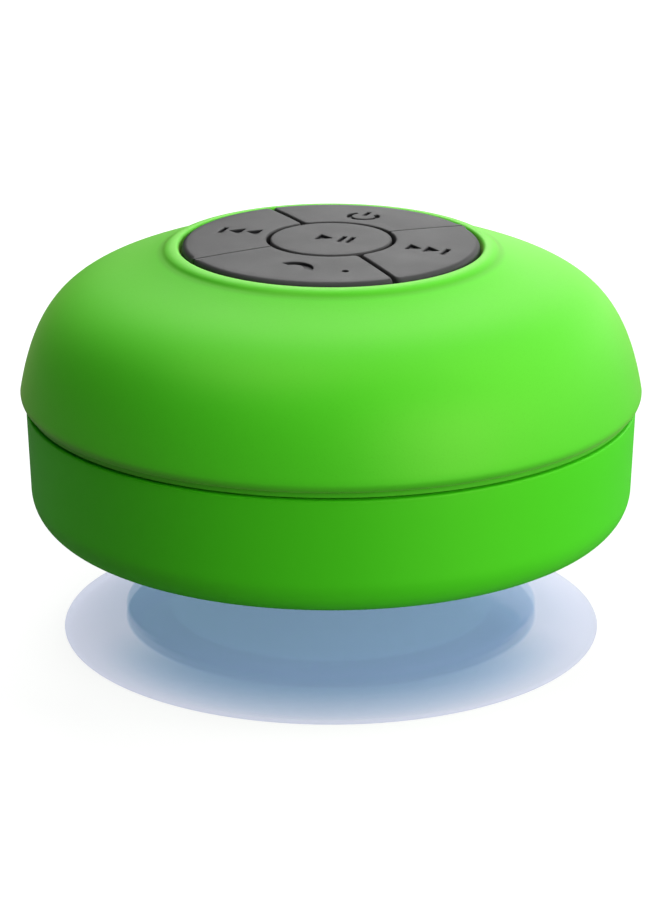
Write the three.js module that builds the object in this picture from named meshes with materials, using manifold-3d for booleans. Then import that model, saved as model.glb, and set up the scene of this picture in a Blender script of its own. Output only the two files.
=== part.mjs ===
// Shower speaker: a round waterproof speaker with five keys on top, standing on a suction cup.
// Millimetres, +Z up. The origin is the centre of the plane that the suction cup's rim rests on.
// +Y is the back, with the charging port in the lower wall and the power key above it.
// Profiles are lists of [radius, height], turned about the Z axis.

import * as THREE from 'three';
import { mergeVertices } from 'three/addons/utils/BufferGeometryUtils.js';
import Module from 'manifold-3d';

const wasm = await Module();
wasm.setup();

// ---------- driving dimensions ----------

const FIT = 0.1; // gap between pieces that sit together
const RUN = 0.3; // gap between pieces that move past each other

// Casing outline. The dome is one curve from the foot of the keypad ring to the lip.
const RING_BORE = 20.86;
const RING_CREST = 55.35;
const RING_ROUND = 0.45;
const RING_SHOULDER = [22.4, 55.19];
const RING_FOOT = [23.1, 54.64];
const DOME_PULL_TOP = [33.05, 50.25];
const DOME_PULL_SIDE = [40.14, 51.18];
const LIP = [43, 35.3];
const LIP_FOOT = [42.27, 34.17];
const SKIRT_FOOT = [41.9, 33.35]; // the cover steps in below its lip, and leaves a shallow groove
const WALL_TOP = [42.25, 33.05];
const WALL_FOOT_RADIUS = 41.85;
const BOTTOM = 16.2;
const BOTTOM_FILLET = 5.38;

// Casing thicknesses and inside heights.
const COVER_THICK = 1.6;
const SHELL_THICK = 2;
const SHELL_FOOT = 34.6;
const WALL_THICK = 2.2;
const FLOOR_THICK = 2.2;
const FLOOR = BOTTOM + FLOOR_THICK;
const LEDGE_BORE = 18.4;
const LEDGE_TOP = 52.6;
const TONGUE = { inner: 37.2, outer: 38.5, top: 36.8 };
const TONGUE_ROOT = 32.4; // the wall thickens inwards from WALL_SWELL up to here, to carry the tongue
const WALL_SWELL = 30;
const SHELL_SEAL = { inner: 39.9, outer: 41, foot: 33.12, top: 34.5 };
const SLOTS = { count: 16, inner: 13, outer: 21, width: 1.6 };

// Keypad.
const KEY_TOP = 56.25;
const KEY_CROWN = 350; // radius of the keypad's very shallow crown
const KEY_FOOT = 53.9;
const KEYPAD_RADIUS = 20.46;
const PLAY_RADIUS = 8.35;
const GROOVE = 0.5;
const KEY_PITCH = 14.3; // distance of each sector key's plunger from the middle
const KEY_ROUND = 0.6;
const KEY_CHAMFER = 0.2; // along the groove round the play key
const NUB = { radius: 1.6, foot: 51 };
const WEB = { radius: 20.3, foot: 52.7, top: 53.2 };
const PINHOLE = { x: 7.06, y: -13.8, radius: 0.5 };
const SECTORS = { next: 0, power: 90, previous: 180, call: 270 };

// Circuit board and what stands on it.
const BOARD = { radius: 25, foot: 47.4, top: 48.6 };
const SWITCH = { side: 5.2, top: 50.15, bore: 1.5, well: 49.25 };
const PLUNGER = { radius: 1.2, foot: 49.9, top: 50.7 };
const BOSS = { radius: 2.5, ring: 22, bore: 1.1, boreTop: 51.7, top: 52, angles: [90, 205, 335] };
const MOUNTED = 0.05; // gap between a board or plate and what is fixed to it
const AUDIO_CHIP = { from: 6.6, to: 12.6, height: 1 };
const MICROPHONE = { radius: 2, height: 1.9 };
const STATUS_LED = { x: [10.2, 11.8], y: [-14.6, -13.8], height: 0.8 };
const BOARD_SCREW = { head: 2, shank: 0.85, headHeight: 1.4, drive: 2.2 };
const BATTERY = { halfLength: 17, halfWidth: 12, foot: 40.6, top: 46.6, corner: 2 };
const PAD = { halfLength: 10, halfWidth: 8 };
const LEAD_RADIUS = 0.6;

// Housing screws.
const COLUMN_RING = 31;
const COLUMN_ANGLES = [45, 135, 225, 315];
const COLUMN = { baseRadius: 4.6, baseTop: 34.3, topRadius: 3.2, topFoot: 34.5, topEnd: 51 };
const SCREW = { head: 2.6, shank: 1.2, headFoot: 25, headTop: 26.95, tip: 40.5, drive: 3 };
const DRIVE = { width: 0.7, depth: 0.8 }; // cross recess in a screw's head
const PLUG_HEIGHT = 2;

// Driver, facing down. Heights rise from the front of the gasket to the back of the magnet.
const SEAT = { inner: 22, outer: 26.5, top: 20.2 };
const MAGNET_RADIUS = 15.5;
const POLE_RADIUS = 6.2;
const PLATE_FOOT = 31;
const MAGNET_FOOT = 33.05;
const YOKE_FOOT = 37.55;
const YOKE_TOP = 39.5;
const FLANGE = { inner: 22.3, outer: 25.2, foot: 21.4, top: 22.2 };
const BASKET_NECK = { inner: 10, outer: 16.4, foot: 30.3 };
const WINDOWS = { count: 6, width: 10, foot: 23.5, top: 29 };
const SURROUND = { inner: 19.3, middle: 21, outer: 25, roll: 1.15, thick: 0.3, foot: 21 };
const SPIDER = { inner: 7.5, outer: 15, height: 29.7, thick: 0.3, wave: 0.22, steps: 4 };
const COIL = { inner: 6.6, outer: 7.35, foot: 28.95, top: 35.5 };
const SOUND_MESH = { inner: 12, outer: SEAT.inner - 0.2, thick: 0.25 };

// Charging port in the back wall.
const PORT = { halfWidth: 5.35, foot: 24.25, top: 29.75 };
const FLAP = { halfWidth: 6.5, foot: 22.9, top: 31.1, corner: 1.6, back: 41 };
const FLAP_NUB = { halfWidth: 4.6, foot: 24.6, top: 29.4, corner: 1, inner: 38 };
const TETHER = { left: -8.4, right: -7.1, foot: 25, top: 29 };
const RECESS_RADIUS = 40.85;
const PORT_CORNER = 1.2;
const TETHER_CORNER = 0.5;
const BACK_WALL = [36, 46]; // a stretch of Y that holds the whole back wall
const CHARGE_BOARD = { foot: 25, top: 26, front: 37.6, back: 27.8, halfWidth: 7 };
const RAIL = { x: 5, halfWidth: 0.8, y: [29, 37] };
const SOCKET = { halfWidth: 3.75, y: [32.7, 37.7], height: 2.9, wall: 0.35 };

// Suction cup and the hub that it turns on.
const RIM_RADIUS = 37.7;
const RIM_LAND = 36;
const STEP_RADIUS = 28.7;
const CUP_NECK = { radius: 9.5, top: 13 };
const HUB = { radius: 11, foot: 13.3, top: 15.9, spigot: 5, spigotTop: 18.7, edge: 0.6 };
const HUB_BORE = 5.3;
const HUB_PILOT = { radius: 1.4, foot: 15.8 };
const SEAL_RING = { radius: 7.5, section: 0.5, height: 15.62 };
const SEAL_GROOVE = { inner: 6.8, outer: 8.2, foot: 15.05 };
const WASHER = { inner: 1.5, outer: 8, foot: 18.75, top: 19.65 };
const HUB_SCREW = { head: 3, shank: 1.2, foot: 16.2, headFoot: 19.7, headTop: 21.4, drive: 4 };

// ---------- solids ----------

const FINE = 48; // facets round the casing and the cup
const DISC = 36; // facets round the keypad and the circuit board
const MEDIUM = 20; // facets round the driver and the hub
const COARSE = 12; // facets round screws, pins and leads
const REACH = 1; // how far a cutting tool runs past the surface that it cuts
const MERGE_DISTANCE = 1e-4;

// A closed three.js geometry as a solid whose faces point out.
function toSolid(geometry) {
  const bare = geometry.index ? geometry.toNonIndexed() : geometry.clone();
  bare.deleteAttribute('normal');
  bare.deleteAttribute('uv');
  const merged = mergeVertices(bare, MERGE_DISTANCE);
  const corners = merged.index.array;
  const faces = [];
  for (let i = 0; i < corners.length; i += 3) {
    const face = [corners[i], corners[i + 1], corners[i + 2]];
    if (new Set(face).size === 3) faces.push(face);
  }
  const made = (list) => new wasm.Manifold(new wasm.Mesh({
    numProp: 3,
    vertProperties: merged.attributes.position.array,
    triVerts: new Uint32Array(list.flat()),
  }));
  const solid = made(faces);
  return solid.volume() > 0 ? solid : made(faces.map((face) => face.reverse()));
}

// A profile turned about the Z axis. It is closed on itself unless both its ends are on the axis.
function revolve(profile, facets = MEDIUM) {
  const ends = [profile[0], profile[profile.length - 1]];
  const onAxis = ends.every(([radius]) => radius === 0);
  const loop = onAxis ? profile : [...profile, profile[0]];
  const points = loop.map(([radius, height]) => new THREE.Vector2(radius, height));
  return toSolid(new THREE.LatheGeometry(points, facets).rotateX(Math.PI / 2));
}

function rod(radius, foot, top, [x, y] = [0, 0], facets = COARSE) {
  const geometry = new THREE.CylinderGeometry(radius, radius, top - foot, facets);
  return toSolid(geometry.rotateX(Math.PI / 2).translate(x, y, (foot + top) / 2));
}

function block([x0, x1], [y0, y1], [z0, z1]) {
  const geometry = new THREE.BoxGeometry(x1 - x0, y1 - y0, z1 - z0);
  return toSolid(geometry.translate((x0 + x1) / 2, (y0 + y1) / 2, (z0 + z1) / 2));
}

// A flat outline raised from one height to another.
function prism(shape, foot, top) {
  const raised = new THREE.ExtrudeGeometry(shape, {
    depth: top - foot,
    bevelEnabled: false,
    curveSegments: 4,
  });
  return toSolid(raised.translate(0, 0, foot));
}

// A round lead of wire through the given points.
function lead(radius, points) {
  const section = new THREE.Shape().absarc(0, 0, radius, 0, 2 * Math.PI);
  const path = new THREE.CatmullRomCurve3(points.map((p) => new THREE.Vector3(...p)));
  return toSolid(new THREE.ExtrudeGeometry(section, {
    steps: 7,
    curveSegments: 3,
    bevelEnabled: false,
    extrudePath: path,
  }));
}

function roundedRectangle(x0, x1, y0, y1, corner) {
  const shape = new THREE.Shape();
  shape.moveTo(x0 + corner, y0);
  shape.lineTo(x1 - corner, y0);
  shape.absarc(x1 - corner, y0 + corner, corner, -Math.PI / 2, 0);
  shape.lineTo(x1, y1 - corner);
  shape.absarc(x1 - corner, y1 - corner, corner, 0, Math.PI / 2);
  shape.lineTo(x0 + corner, y1);
  shape.absarc(x0 + corner, y1 - corner, corner, Math.PI / 2, Math.PI);
  shape.lineTo(x0, y0 + corner);
  shape.absarc(x0 + corner, y0 + corner, corner, Math.PI, 1.5 * Math.PI);
  return shape;
}

// A point at a distance and an angle round the Z axis.
function polar(radius, degrees) {
  const angle = THREE.MathUtils.degToRad(degrees);
  return [radius * Math.cos(angle), radius * Math.sin(angle)];
}

const join = (solids) => solids.reduce((a, b) => a.add(b));
const cut = (solid, tools) => tools.reduce((a, b) => a.subtract(b), solid);

// Points of a quarter circle or ellipse between two angles, in degrees.
function arc([cx, cz], [rx, rz], from, to, steps) {
  return Array.from({ length: steps + 1 }, (_, i) => {
    const angle = THREE.MathUtils.degToRad(from + ((to - from) * i) / steps);
    return [cx + rx * Math.cos(angle), cz + rz * Math.sin(angle)];
  });
}

// ---------- finishes ----------

function finish(color, roughness, metalness = 0, opacity = 1) {
  return new THREE.MeshStandardMaterial({
    color,
    roughness,
    metalness,
    opacity,
    transparent: opacity < 1,
  });
}

const GREEN = finish(0x4cc423, 0.55);
const GREY_RUBBER = finish(0x85827f, 0.6);
const CLEAR_VINYL = finish(0x9fb4d8, 0.2, 0, 0.6);
const BLACK_PLASTIC = finish(0x1c1d1f, 0.5);
const WHITE_PLASTIC = finish(0xdfe2e4, 0.45);
const BOARD_GREEN = finish(0x14522f, 0.45);
const STEEL = finish(0xb9bcc0, 0.3, 1);
const FERRITE = finish(0x2b2b2e, 0.6);
const PAPER = finish(0x26262a, 0.85);
const COPPER = finish(0xb26a38, 0.35, 1);
const FOAM = finish(0x3a3b3d, 0.95);
const FOIL = finish(0xc3c6ca, 0.35, 0.6);
const CABLE_RED = finish(0xb3241c, 0.5);

function piece(name, solid, material) {
  const { numProp, numVert, vertProperties, triVerts } = solid.getMesh();
  const corners = new Float32Array(3 * numVert);
  for (let i = 0; i < numVert; i += 1) {
    corners.set(vertProperties.subarray(i * numProp, i * numProp + 3), 3 * i);
  }
  const geometry = new THREE.BufferGeometry();
  geometry.setAttribute('position', new THREE.BufferAttribute(corners, 3));
  geometry.setIndex(new THREE.BufferAttribute(triVerts, 1));
  geometry.computeVertexNormals();
  const mesh = new THREE.Mesh(geometry, material);
  mesh.name = name;
  return mesh;
}

function assembly(...members) {
  const group = new THREE.Group();
  group.add(...members);
  return group;
}

// ---------- casing ----------

// The dome's curve, moved a distance in towards the inside, from the ring down to the lip.
function domeCurve(depth, steps) {
  const corners = [RING_FOOT, DOME_PULL_TOP, DOME_PULL_SIDE, LIP];
  const curve = new THREE.CubicBezierCurve(...corners.map((p) => new THREE.Vector2(...p)));
  return Array.from({ length: steps + 1 }, (_, i) => {
    const point = curve.getPoint(i / steps);
    const along = curve.getTangent(i / steps);
    return [point.x + depth * along.y, point.y - depth * along.x];
  });
}

// Soft dome with a raised ring round the keypad and a thin lip at its lower edge.
function domeCover() {
  const [lipRadius, lipHeight] = LIP;
  const [footRadius, footHeight] = LIP_FOOT;
  const lipSize = [lipRadius - footRadius, lipHeight - footHeight];
  const lip = arc([footRadius, lipHeight], lipSize, 0, -90, 2);
  const crown = arc([RING_BORE + RING_ROUND, RING_CREST - RING_ROUND], [RING_ROUND, RING_ROUND], 180, 90, 2);
  const ring = [...crown, RING_SHOULDER];
  const inside = domeCurve(COVER_THICK, 6).reverse();
  const insideFoot = [inside[0][0], SKIRT_FOOT[1]];
  const ringFoot = [RING_BORE, inside.at(-1)[1]];
  const skirt = [[SKIRT_FOOT[0], footHeight], SKIRT_FOOT];
  const outside = [...ring, ...domeCurve(0, 9), ...lip.slice(1), ...skirt];
  return revolve([...outside, insideFoot, ...inside, ringFoot], FINE);
}

// Hard shell under the dome, with a ledge for the keypad, screw columns and board bosses.
function upperShell() {
  const outside = domeCurve(COVER_THICK + FIT, 6);
  const inside = domeCurve(COVER_THICK + FIT + SHELL_THICK, 5).reverse();
  const openingTop = [RING_BORE, outside[0][1]];
  const ledge = [[LEDGE_BORE, inside.at(-1)[1]], [LEDGE_BORE, LEDGE_TOP], [RING_BORE, LEDGE_TOP]];
  const feet = [outside, [...inside].reverse()].map((side) => [side.at(-1)[0] - FIT, SHELL_FOOT]);
  const insideTop = inside.filter(([, height]) => height > SHELL_FOOT);
  const shell = revolve([openingTop, ...outside, ...feet, ...insideTop, ...ledge], FINE);
  const underDome = revolve([[0, 0], ...[...outside].reverse(), [0, outside[0][1]]], FINE);
  const columns = COLUMN_ANGLES.map((angle) => (
    rod(COLUMN.topRadius, COLUMN.topFoot, COLUMN.topEnd, polar(COLUMN_RING, angle))));
  const bosses = BOSS.angles.map((angle) => (
    rod(BOSS.radius, BOARD.top + FIT, BOSS.top, polar(BOSS.ring, angle))));
  const pilots = COLUMN_ANGLES.map((angle) => (
    rod(SCREW.shank + RUN, COLUMN.topFoot - REACH, SCREW.tip + RUN, polar(COLUMN_RING, angle))));
  const bores = BOSS.angles.map((angle) => (
    rod(BOSS.bore, BOARD.top, BOSS.boreTop, polar(BOSS.ring, angle))));
  const stands = join([...columns, ...bosses]).intersect(underDome);
  return cut(shell.add(stands), [...pilots, ...bores]);
}

// The outside radius of the lower wall at a height.
function wallRadius(height) {
  const footHeight = BOTTOM + BOTTOM_FILLET;
  const share = (height - footHeight) / (WALL_TOP[1] - footHeight);
  return WALL_FOOT_RADIUS + share * (WALL_TOP[0] - WALL_FOOT_RADIUS);
}

// A ring of the lower wall's outside, from an inner radius out to its surface.
function wallBand(innerRadius, surfaceOffset, foot, top) {
  const surface = [foot, top].map((height) => [wallRadius(height) + surfaceOffset, height]);
  return revolve([[innerRadius, foot], ...surface, [innerRadius, top]], FINE);
}

// A rounded rectangle seen from the back, as a bar that runs through the back wall.
function backBar(x0, x1, foot, top, corner, y0, y1) {
  const bar = new THREE.ExtrudeGeometry(roundedRectangle(-x1, -x0, foot, top, corner), {
    depth: y1 - y0,
    bevelEnabled: false,
    curveSegments: 4,
  });
  return toSolid(bar.rotateX(Math.PI / 2).rotateZ(Math.PI).translate(0, y0, 0));
}

// Cuts for the port, the flap's shallow recess and the recess of the tether's root.
function portCuts() {
  const { left, right, foot, top } = TETHER;
  const half = FLAP.halfWidth + RUN;
  const [low, high] = [FLAP.foot - RUN, FLAP.top + RUN];
  const recess = wallBand(RECESS_RADIUS, REACH, low - REACH, high + REACH);
  const flapBar = backBar(-half, half, low, high, FLAP.corner, ...BACK_WALL);
  const rootBar = backBar(left - FIT, right + REACH, foot - FIT, top + FIT, TETHER_CORNER, ...BACK_WALL);
  const port = backBar(-PORT.halfWidth, PORT.halfWidth, PORT.foot, PORT.top, PORT_CORNER, ...BACK_WALL);
  return [recess.intersect(flapBar.add(rootBar)), port];
}

// Lower housing: wall, rounded bottom edge, floor with sound slots, driver seat and screw columns.
function baseShell() {
  const outerCentre = [WALL_FOOT_RADIUS - BOTTOM_FILLET, BOTTOM + BOTTOM_FILLET];
  const innerFillet = BOTTOM_FILLET - WALL_THICK;
  const outside = [...arc(outerCentre, [BOTTOM_FILLET, BOTTOM_FILLET], -90, 0, 3), WALL_TOP];
  const lip = [
    [TONGUE.outer, WALL_TOP[1]],
    [TONGUE.outer, TONGUE.top],
    [TONGUE.inner, TONGUE.top],
    [TONGUE.inner, TONGUE_ROOT],
    [wallRadius(WALL_SWELL) - WALL_THICK, WALL_SWELL],
  ];
  const inside = arc(outerCentre, [innerFillet, innerFillet], 0, -90, 2);
  const seat = [[SEAT.outer, FLOOR], [SEAT.outer, SEAT.top], [SEAT.inner, SEAT.top], [SEAT.inner, FLOOR]];
  const section = [[HUB_BORE, BOTTOM], ...outside, ...lip, ...inside, ...seat, [HUB_BORE, FLOOR]];
  const shell = revolve(section, FINE);
  const columns = COLUMN_ANGLES.map((angle) => (
    rod(COLUMN.baseRadius, BOTTOM + REACH, COLUMN.baseTop, polar(COLUMN_RING, angle), MEDIUM)));
  const counterbores = COLUMN_ANGLES.map((angle) => (
    rod(SCREW.head + RUN, BOTTOM - REACH, SCREW.headTop + MOUNTED, polar(COLUMN_RING, angle), MEDIUM)));
  const holes = COLUMN_ANGLES.map((angle) => (
    rod(SCREW.shank + RUN, BOTTOM, COLUMN.baseTop + REACH, polar(COLUMN_RING, angle))));
  const rails = [-RAIL.x, RAIL.x].map((x) => (
    block([x - RAIL.halfWidth, x + RAIL.halfWidth], RAIL.y, [BOTTOM + REACH, CHARGE_BOARD.foot - FIT])));
  const body = join([shell, ...columns, ...rails]);
  return cut(body, [...counterbores, ...holes, ...soundSlots(), ...portCuts()]);
}

// Radial slots through the floor, in front of the driver.
function soundSlots() {
  const { count, inner, outer, width } = SLOTS;
  const slot = block([inner, outer], [-width / 2, width / 2], [BOTTOM - REACH, FLOOR + REACH]);
  return Array.from({ length: count }, (_, i) => slot.rotate([0, 0, (360 * (i + 0.5)) / count]));
}

// A plain ring with a rectangular section.
function ring({ inner, outer, foot, top }, facets = MEDIUM) {
  return revolve([[inner, foot], [outer, foot], [outer, top], [inner, top]], facets);
}

function casing() {
  return assembly(
    piece('dome_cover', domeCover(), GREEN),
    piece('upper_shell', upperShell(), BLACK_PLASTIC),
    piece('base_shell', baseShell(), GREEN),
    piece('shell_seal', ring(SHELL_SEAL, FINE), BLACK_PLASTIC),
    ...COLUMN_ANGLES.flatMap((angle, i) => [
      piece(`housing_screw_${i + 1}`, housingScrew(polar(COLUMN_RING, angle)), STEEL),
      piece(`screw_plug_${i + 1}`, screwPlug(polar(COLUMN_RING, angle)), GREEN),
    ]),
  );
}

// A pan-head screw from below, with a cross recess in its head.
function housingScrew(place) {
  const head = rod(SCREW.head, SCREW.headFoot, SCREW.headTop, place);
  const shank = rod(SCREW.shank, SCREW.headTop - FIT, SCREW.tip, place);
  return crossRecess(head.add(shank), place, SCREW.headFoot, SCREW.drive);
}

// Cuts a cross drive of the given length into the underside of a screw's head.
function crossRecess(screw, [x, y], face, length) {
  const [half, side] = [length / 2, DRIVE.width / 2];
  const depth = [face - REACH, face + DRIVE.depth];
  const bars = [
    block([x - half, x + half], [y - side, y + side], depth),
    block([x - side, x + side], [y - half, y + half], depth),
  ];
  return cut(screw, bars);
}

function screwPlug(place) {
  return rod(SCREW.head + RUN - MOUNTED, BOTTOM + MOUNTED, BOTTOM + PLUG_HEIGHT, place, MEDIUM);
}

// ---------- keypad ----------

const keyHeight = (radius) => KEY_TOP - radius ** 2 / (2 * KEY_CROWN);

// The top of a key from an inner to an outer radius, with its outer edge rounded over.
function keyTop(inner, outer) {
  const flatEnd = outer - KEY_ROUND;
  const middle = (inner + flatEnd) / 2;
  const edge = arc([flatEnd, keyHeight(outer) - KEY_ROUND], [KEY_ROUND, KEY_ROUND], 90, 0, 3);
  return [[inner, keyHeight(inner)], [middle, keyHeight(middle)], ...edge];
}

function nub(place) {
  return rod(NUB.radius, NUB.foot, KEY_FOOT + REACH, place);
}

function playKey() {
  const top = keyTop(0, PLAY_RADIUS);
  const disc = revolve([[0, KEY_FOOT], [PLAY_RADIUS, KEY_FOOT], ...top.reverse()], DISC);
  return disc.add(nub([0, 0]));
}

// One quarter of the ring round the play key, made at angle 0 and turned to its place.
function sectorKey(angle) {
  const inner = PLAY_RADIUS + GROOVE;
  const top = keyTop(inner + KEY_CHAMFER, KEYPAD_RADIUS);
  const innerEdge = [[inner, KEY_FOOT], [inner, keyHeight(inner) - KEY_CHAMFER]];
  const whole = revolve([...innerEdge, ...top, [KEYPAD_RADIUS, KEY_FOOT]], FINE);
  const reach = 2 * KEYPAD_RADIUS;
  const tip = GROOVE / Math.SQRT2;
  const wedge = new THREE.Shape();
  wedge.moveTo(tip, 0);
  wedge.lineTo(tip + reach, -reach);
  wedge.lineTo(tip + reach, reach);
  wedge.closePath();
  const quarter = whole.intersect(prism(wedge, KEY_FOOT - REACH, KEY_TOP + REACH));
  return quarter.add(nub([KEY_PITCH, 0])).rotate([0, 0, angle]);
}

const keyPlaces = () => [[0, 0], ...Object.values(SECTORS).map((angle) => polar(KEY_PITCH, angle))];

// Thin sheet below the keys, open where the nubs and the pinhole pass.
function keypadWeb() {
  const [low, high] = [WEB.foot - REACH, WEB.top + REACH];
  const holes = keyPlaces().map((place) => rod(NUB.radius + RUN, low, high, place));
  const pinhole = rod(PINHOLE.radius + FIT, low, high, [PINHOLE.x, PINHOLE.y]);
  return cut(rod(WEB.radius, WEB.foot, WEB.top, [0, 0], DISC), [...holes, pinhole]);
}

function keypad() {
  const pinhole = rod(PINHOLE.radius, KEY_FOOT - REACH, KEY_TOP + REACH, [PINHOLE.x, PINHOLE.y]);
  return assembly(
    piece('play_key', playKey(), GREY_RUBBER),
    piece('next_key', sectorKey(SECTORS.next), GREY_RUBBER),
    piece('power_key', sectorKey(SECTORS.power), GREY_RUBBER),
    piece('previous_key', sectorKey(SECTORS.previous), GREY_RUBBER),
    piece('call_key', sectorKey(SECTORS.call).subtract(pinhole), GREY_RUBBER),
    piece('keypad_web', keypadWeb(), GREY_RUBBER),
  );
}

// ---------- electronics ----------

function switchBody([x, y]) {
  const half = SWITCH.side / 2;
  const body = block([x - half, x + half], [y - half, y + half], [BOARD.top + MOUNTED, SWITCH.top]);
  return body.subtract(rod(SWITCH.bore, SWITCH.well, SWITCH.top + REACH, [x, y]));
}

function keySwitches() {
  const names = ['play', ...Object.keys(SECTORS)];
  return keyPlaces().flatMap((place, i) => [
    piece(`${names[i]}_switch`, switchBody(place), STEEL),
    piece(`${names[i]}_plunger`, rod(PLUNGER.radius, PLUNGER.foot, PLUNGER.top, place), BLACK_PLASTIC),
  ]);
}

function mainBoard() {
  const holes = BOSS.angles.map((angle) => (
    rod(BOSS.bore, BOARD.foot - REACH, BOARD.top + REACH, polar(BOSS.ring, angle))));
  return cut(rod(BOARD.radius, BOARD.foot, BOARD.top, [0, 0], DISC), holes);
}

function boardScrew(place) {
  const headFoot = BOARD.foot - BOARD_SCREW.headHeight;
  const head = rod(BOARD_SCREW.head, headFoot, BOARD.foot - MOUNTED, place);
  const shank = rod(BOARD_SCREW.shank, BOARD.foot - RUN, BOSS.boreTop - RUN, place);
  return crossRecess(head.add(shank), place, headFoot, BOARD_SCREW.drive);
}

// A point on the board, and the height of something that stands on it.
const onBoard = (height) => [BOARD.top + MOUNTED, BOARD.top + MOUNTED + height];

function battery() {
  const { halfLength, halfWidth, foot, top, corner } = BATTERY;
  return prism(roundedRectangle(-halfLength, halfLength, -halfWidth, halfWidth, corner), foot, top);
}

// Padding between the driver's yoke and the battery.
function batteryPad() {
  const { halfLength, halfWidth } = PAD;
  return block([-halfLength, halfLength], [-halfWidth, halfWidth], [YOKE_TOP + FIT, BATTERY.foot - FIT]);
}

function batteryLead() {
  const middle = (BATTERY.foot + BATTERY.top) / 2;
  const [end, y] = [BATTERY.halfLength + FIT, 4];
  const bend = [[end + 1.3, y, middle], [end + 3.1, y, middle + 1.1]];
  return lead(LEAD_RADIUS, [[end, y, middle], ...bend, [end + 3.5, y, BOARD.foot - RUN]]);
}

function electronics() {
  const chip = [AUDIO_CHIP.from, AUDIO_CHIP.to];
  return assembly(
    piece('main_board', mainBoard(), BOARD_GREEN),
    ...keySwitches(),
    piece('audio_chip', block(chip, chip, onBoard(AUDIO_CHIP.height)), BLACK_PLASTIC),
    piece('microphone', rod(MICROPHONE.radius, ...onBoard(MICROPHONE.height), [PINHOLE.x, PINHOLE.y]), STEEL),
    piece('status_led', block(STATUS_LED.x, STATUS_LED.y, onBoard(STATUS_LED.height)), WHITE_PLASTIC),
    ...BOSS.angles.map((angle, i) => (
      piece(`board_screw_${i + 1}`, boardScrew(polar(BOSS.ring, angle)), STEEL))),
    piece('battery', battery(), FOIL),
    piece('battery_pad', batteryPad(), FOAM),
    piece('battery_lead', batteryLead(), CABLE_RED),
  );
}

// ---------- charging port ----------

// A metal shell open to the back, with the contact tongue in its middle.
function chargeSocket() {
  const { halfWidth, y: [inner, outer], height, wall } = SOCKET;
  const foot = CHARGE_BOARD.top + MOUNTED;
  const inside = halfWidth - wall;
  const shell = block([-halfWidth, halfWidth], [inner, outer], [foot, foot + height]);
  const depth = [inner + 2 * wall, outer + REACH];
  const mouth = block([-inside, inside], depth, [foot + wall, foot + height - wall]);
  const half = 0.6 * halfWidth;
  const tongue = block([-half, half], [inner + wall, outer - 2 * wall], [foot + 3 * wall, foot + 5 * wall]);
  return shell.subtract(mouth).add(tongue);
}

// The flap's plate lies flush in the wall and its nub plugs the port.
function portFlap() {
  const { halfWidth, foot, top, corner, back } = FLAP;
  const plate = wallBand(back, 0, foot - REACH, top + REACH)
    .intersect(backBar(-halfWidth, halfWidth, foot, top, corner, ...BACK_WALL));
  const nubSize = [-FLAP_NUB.halfWidth, FLAP_NUB.halfWidth, FLAP_NUB.foot, FLAP_NUB.top, FLAP_NUB.corner];
  return plate.add(backBar(...nubSize, FLAP_NUB.inner, back + FIT));
}

function flapTether() {
  const { left, right, foot, top } = TETHER;
  return wallBand(FLAP.back, 0, foot - REACH, top + REACH)
    .intersect(backBar(left, right, foot, top, TETHER_CORNER, ...BACK_WALL));
}

function chargeLead() {
  const { top, back } = CHARGE_BOARD;
  const x = 5;
  const start = [[x, back + 1, top + RUN], [x, back + 0.8, top + 3]];
  return lead(LEAD_RADIUS, [...start, [x, 24.6, 38], [x, 21.5, BOARD.foot - RUN]]);
}

function chargingPort() {
  const { foot, top, front, back, halfWidth } = CHARGE_BOARD;
  return assembly(
    piece('charge_board', block([-halfWidth, halfWidth], [back, front], [foot, top]), BOARD_GREEN),
    piece('charge_socket', chargeSocket(), STEEL),
    piece('charge_lead', chargeLead(), CABLE_RED),
    piece('port_flap', portFlap(), GREEN),
    piece('flap_tether', flapTether(), GREEN),
  );
}

// ---------- driver ----------

// Basket with a flange on the gasket, a sloping wall with windows and a ring under the top plate.
function driverFrame() {
  const top = PLATE_FOOT - MOUNTED;
  const thick = top - BASKET_NECK.foot;
  const profile = [
    [FLANGE.inner, FLANGE.foot],
    [FLANGE.outer, FLANGE.foot],
    [FLANGE.outer, FLANGE.top],
    [FLANGE.inner + 1.1, FLANGE.top],
    [BASKET_NECK.outer, top],
    [BASKET_NECK.inner, top],
    [BASKET_NECK.inner, BASKET_NECK.foot],
    [BASKET_NECK.outer - thick, BASKET_NECK.foot],
    [FLANGE.inner, FLANGE.top - 0.2],
  ];
  const half = WINDOWS.width / 2;
  const depth = [BASKET_NECK.outer, 2 * BASKET_NECK.outer];
  const window = block(depth, [-half, half], [WINDOWS.foot, WINDOWS.top]);
  const windows = Array.from({ length: WINDOWS.count }, (_, i) => (
    window.rotate([0, 0, (360 * (i + 0.5)) / WINDOWS.count])));
  return cut(revolve(profile), windows);
}

// Half-roll edge that lets the cone travel.
function driverSurround() {
  const { inner, middle, outer, roll, thick, foot } = SURROUND;
  const lower = arc([middle, foot], [roll + thick / 3, roll], 0, -180, 3);
  const upper = arc([middle, foot + thick], [roll - thick * 2 / 3, roll], -180, 0, 3);
  const top = foot + thick;
  return revolve([[outer, foot], ...lower, [inner, foot], [inner, top], ...upper, [outer, top]]);
}

// Corrugated disc that centres the voice coil.
function driverSpider() {
  const { inner, outer, height, thick, wave, steps } = SPIDER;
  const lower = Array.from({ length: steps + 1 }, (_, i) => {
    const flat = i % steps === 0;
    const swing = i % 2 ? wave : -wave;
    return [inner + ((outer - inner) * i) / steps, height + (flat ? 0 : swing)];
  });
  const upper = lower.map(([radius, level]) => [radius, level + thick]).reverse();
  return revolve([...lower, ...upper]);
}

// A sheet turned about the Z axis: its section's underside, and its thickness along Z.
function turnedSheet(under, thick) {
  return revolve([...under, ...under.map(([radius, height]) => [radius, height + thick]).reverse()]);
}

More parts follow.
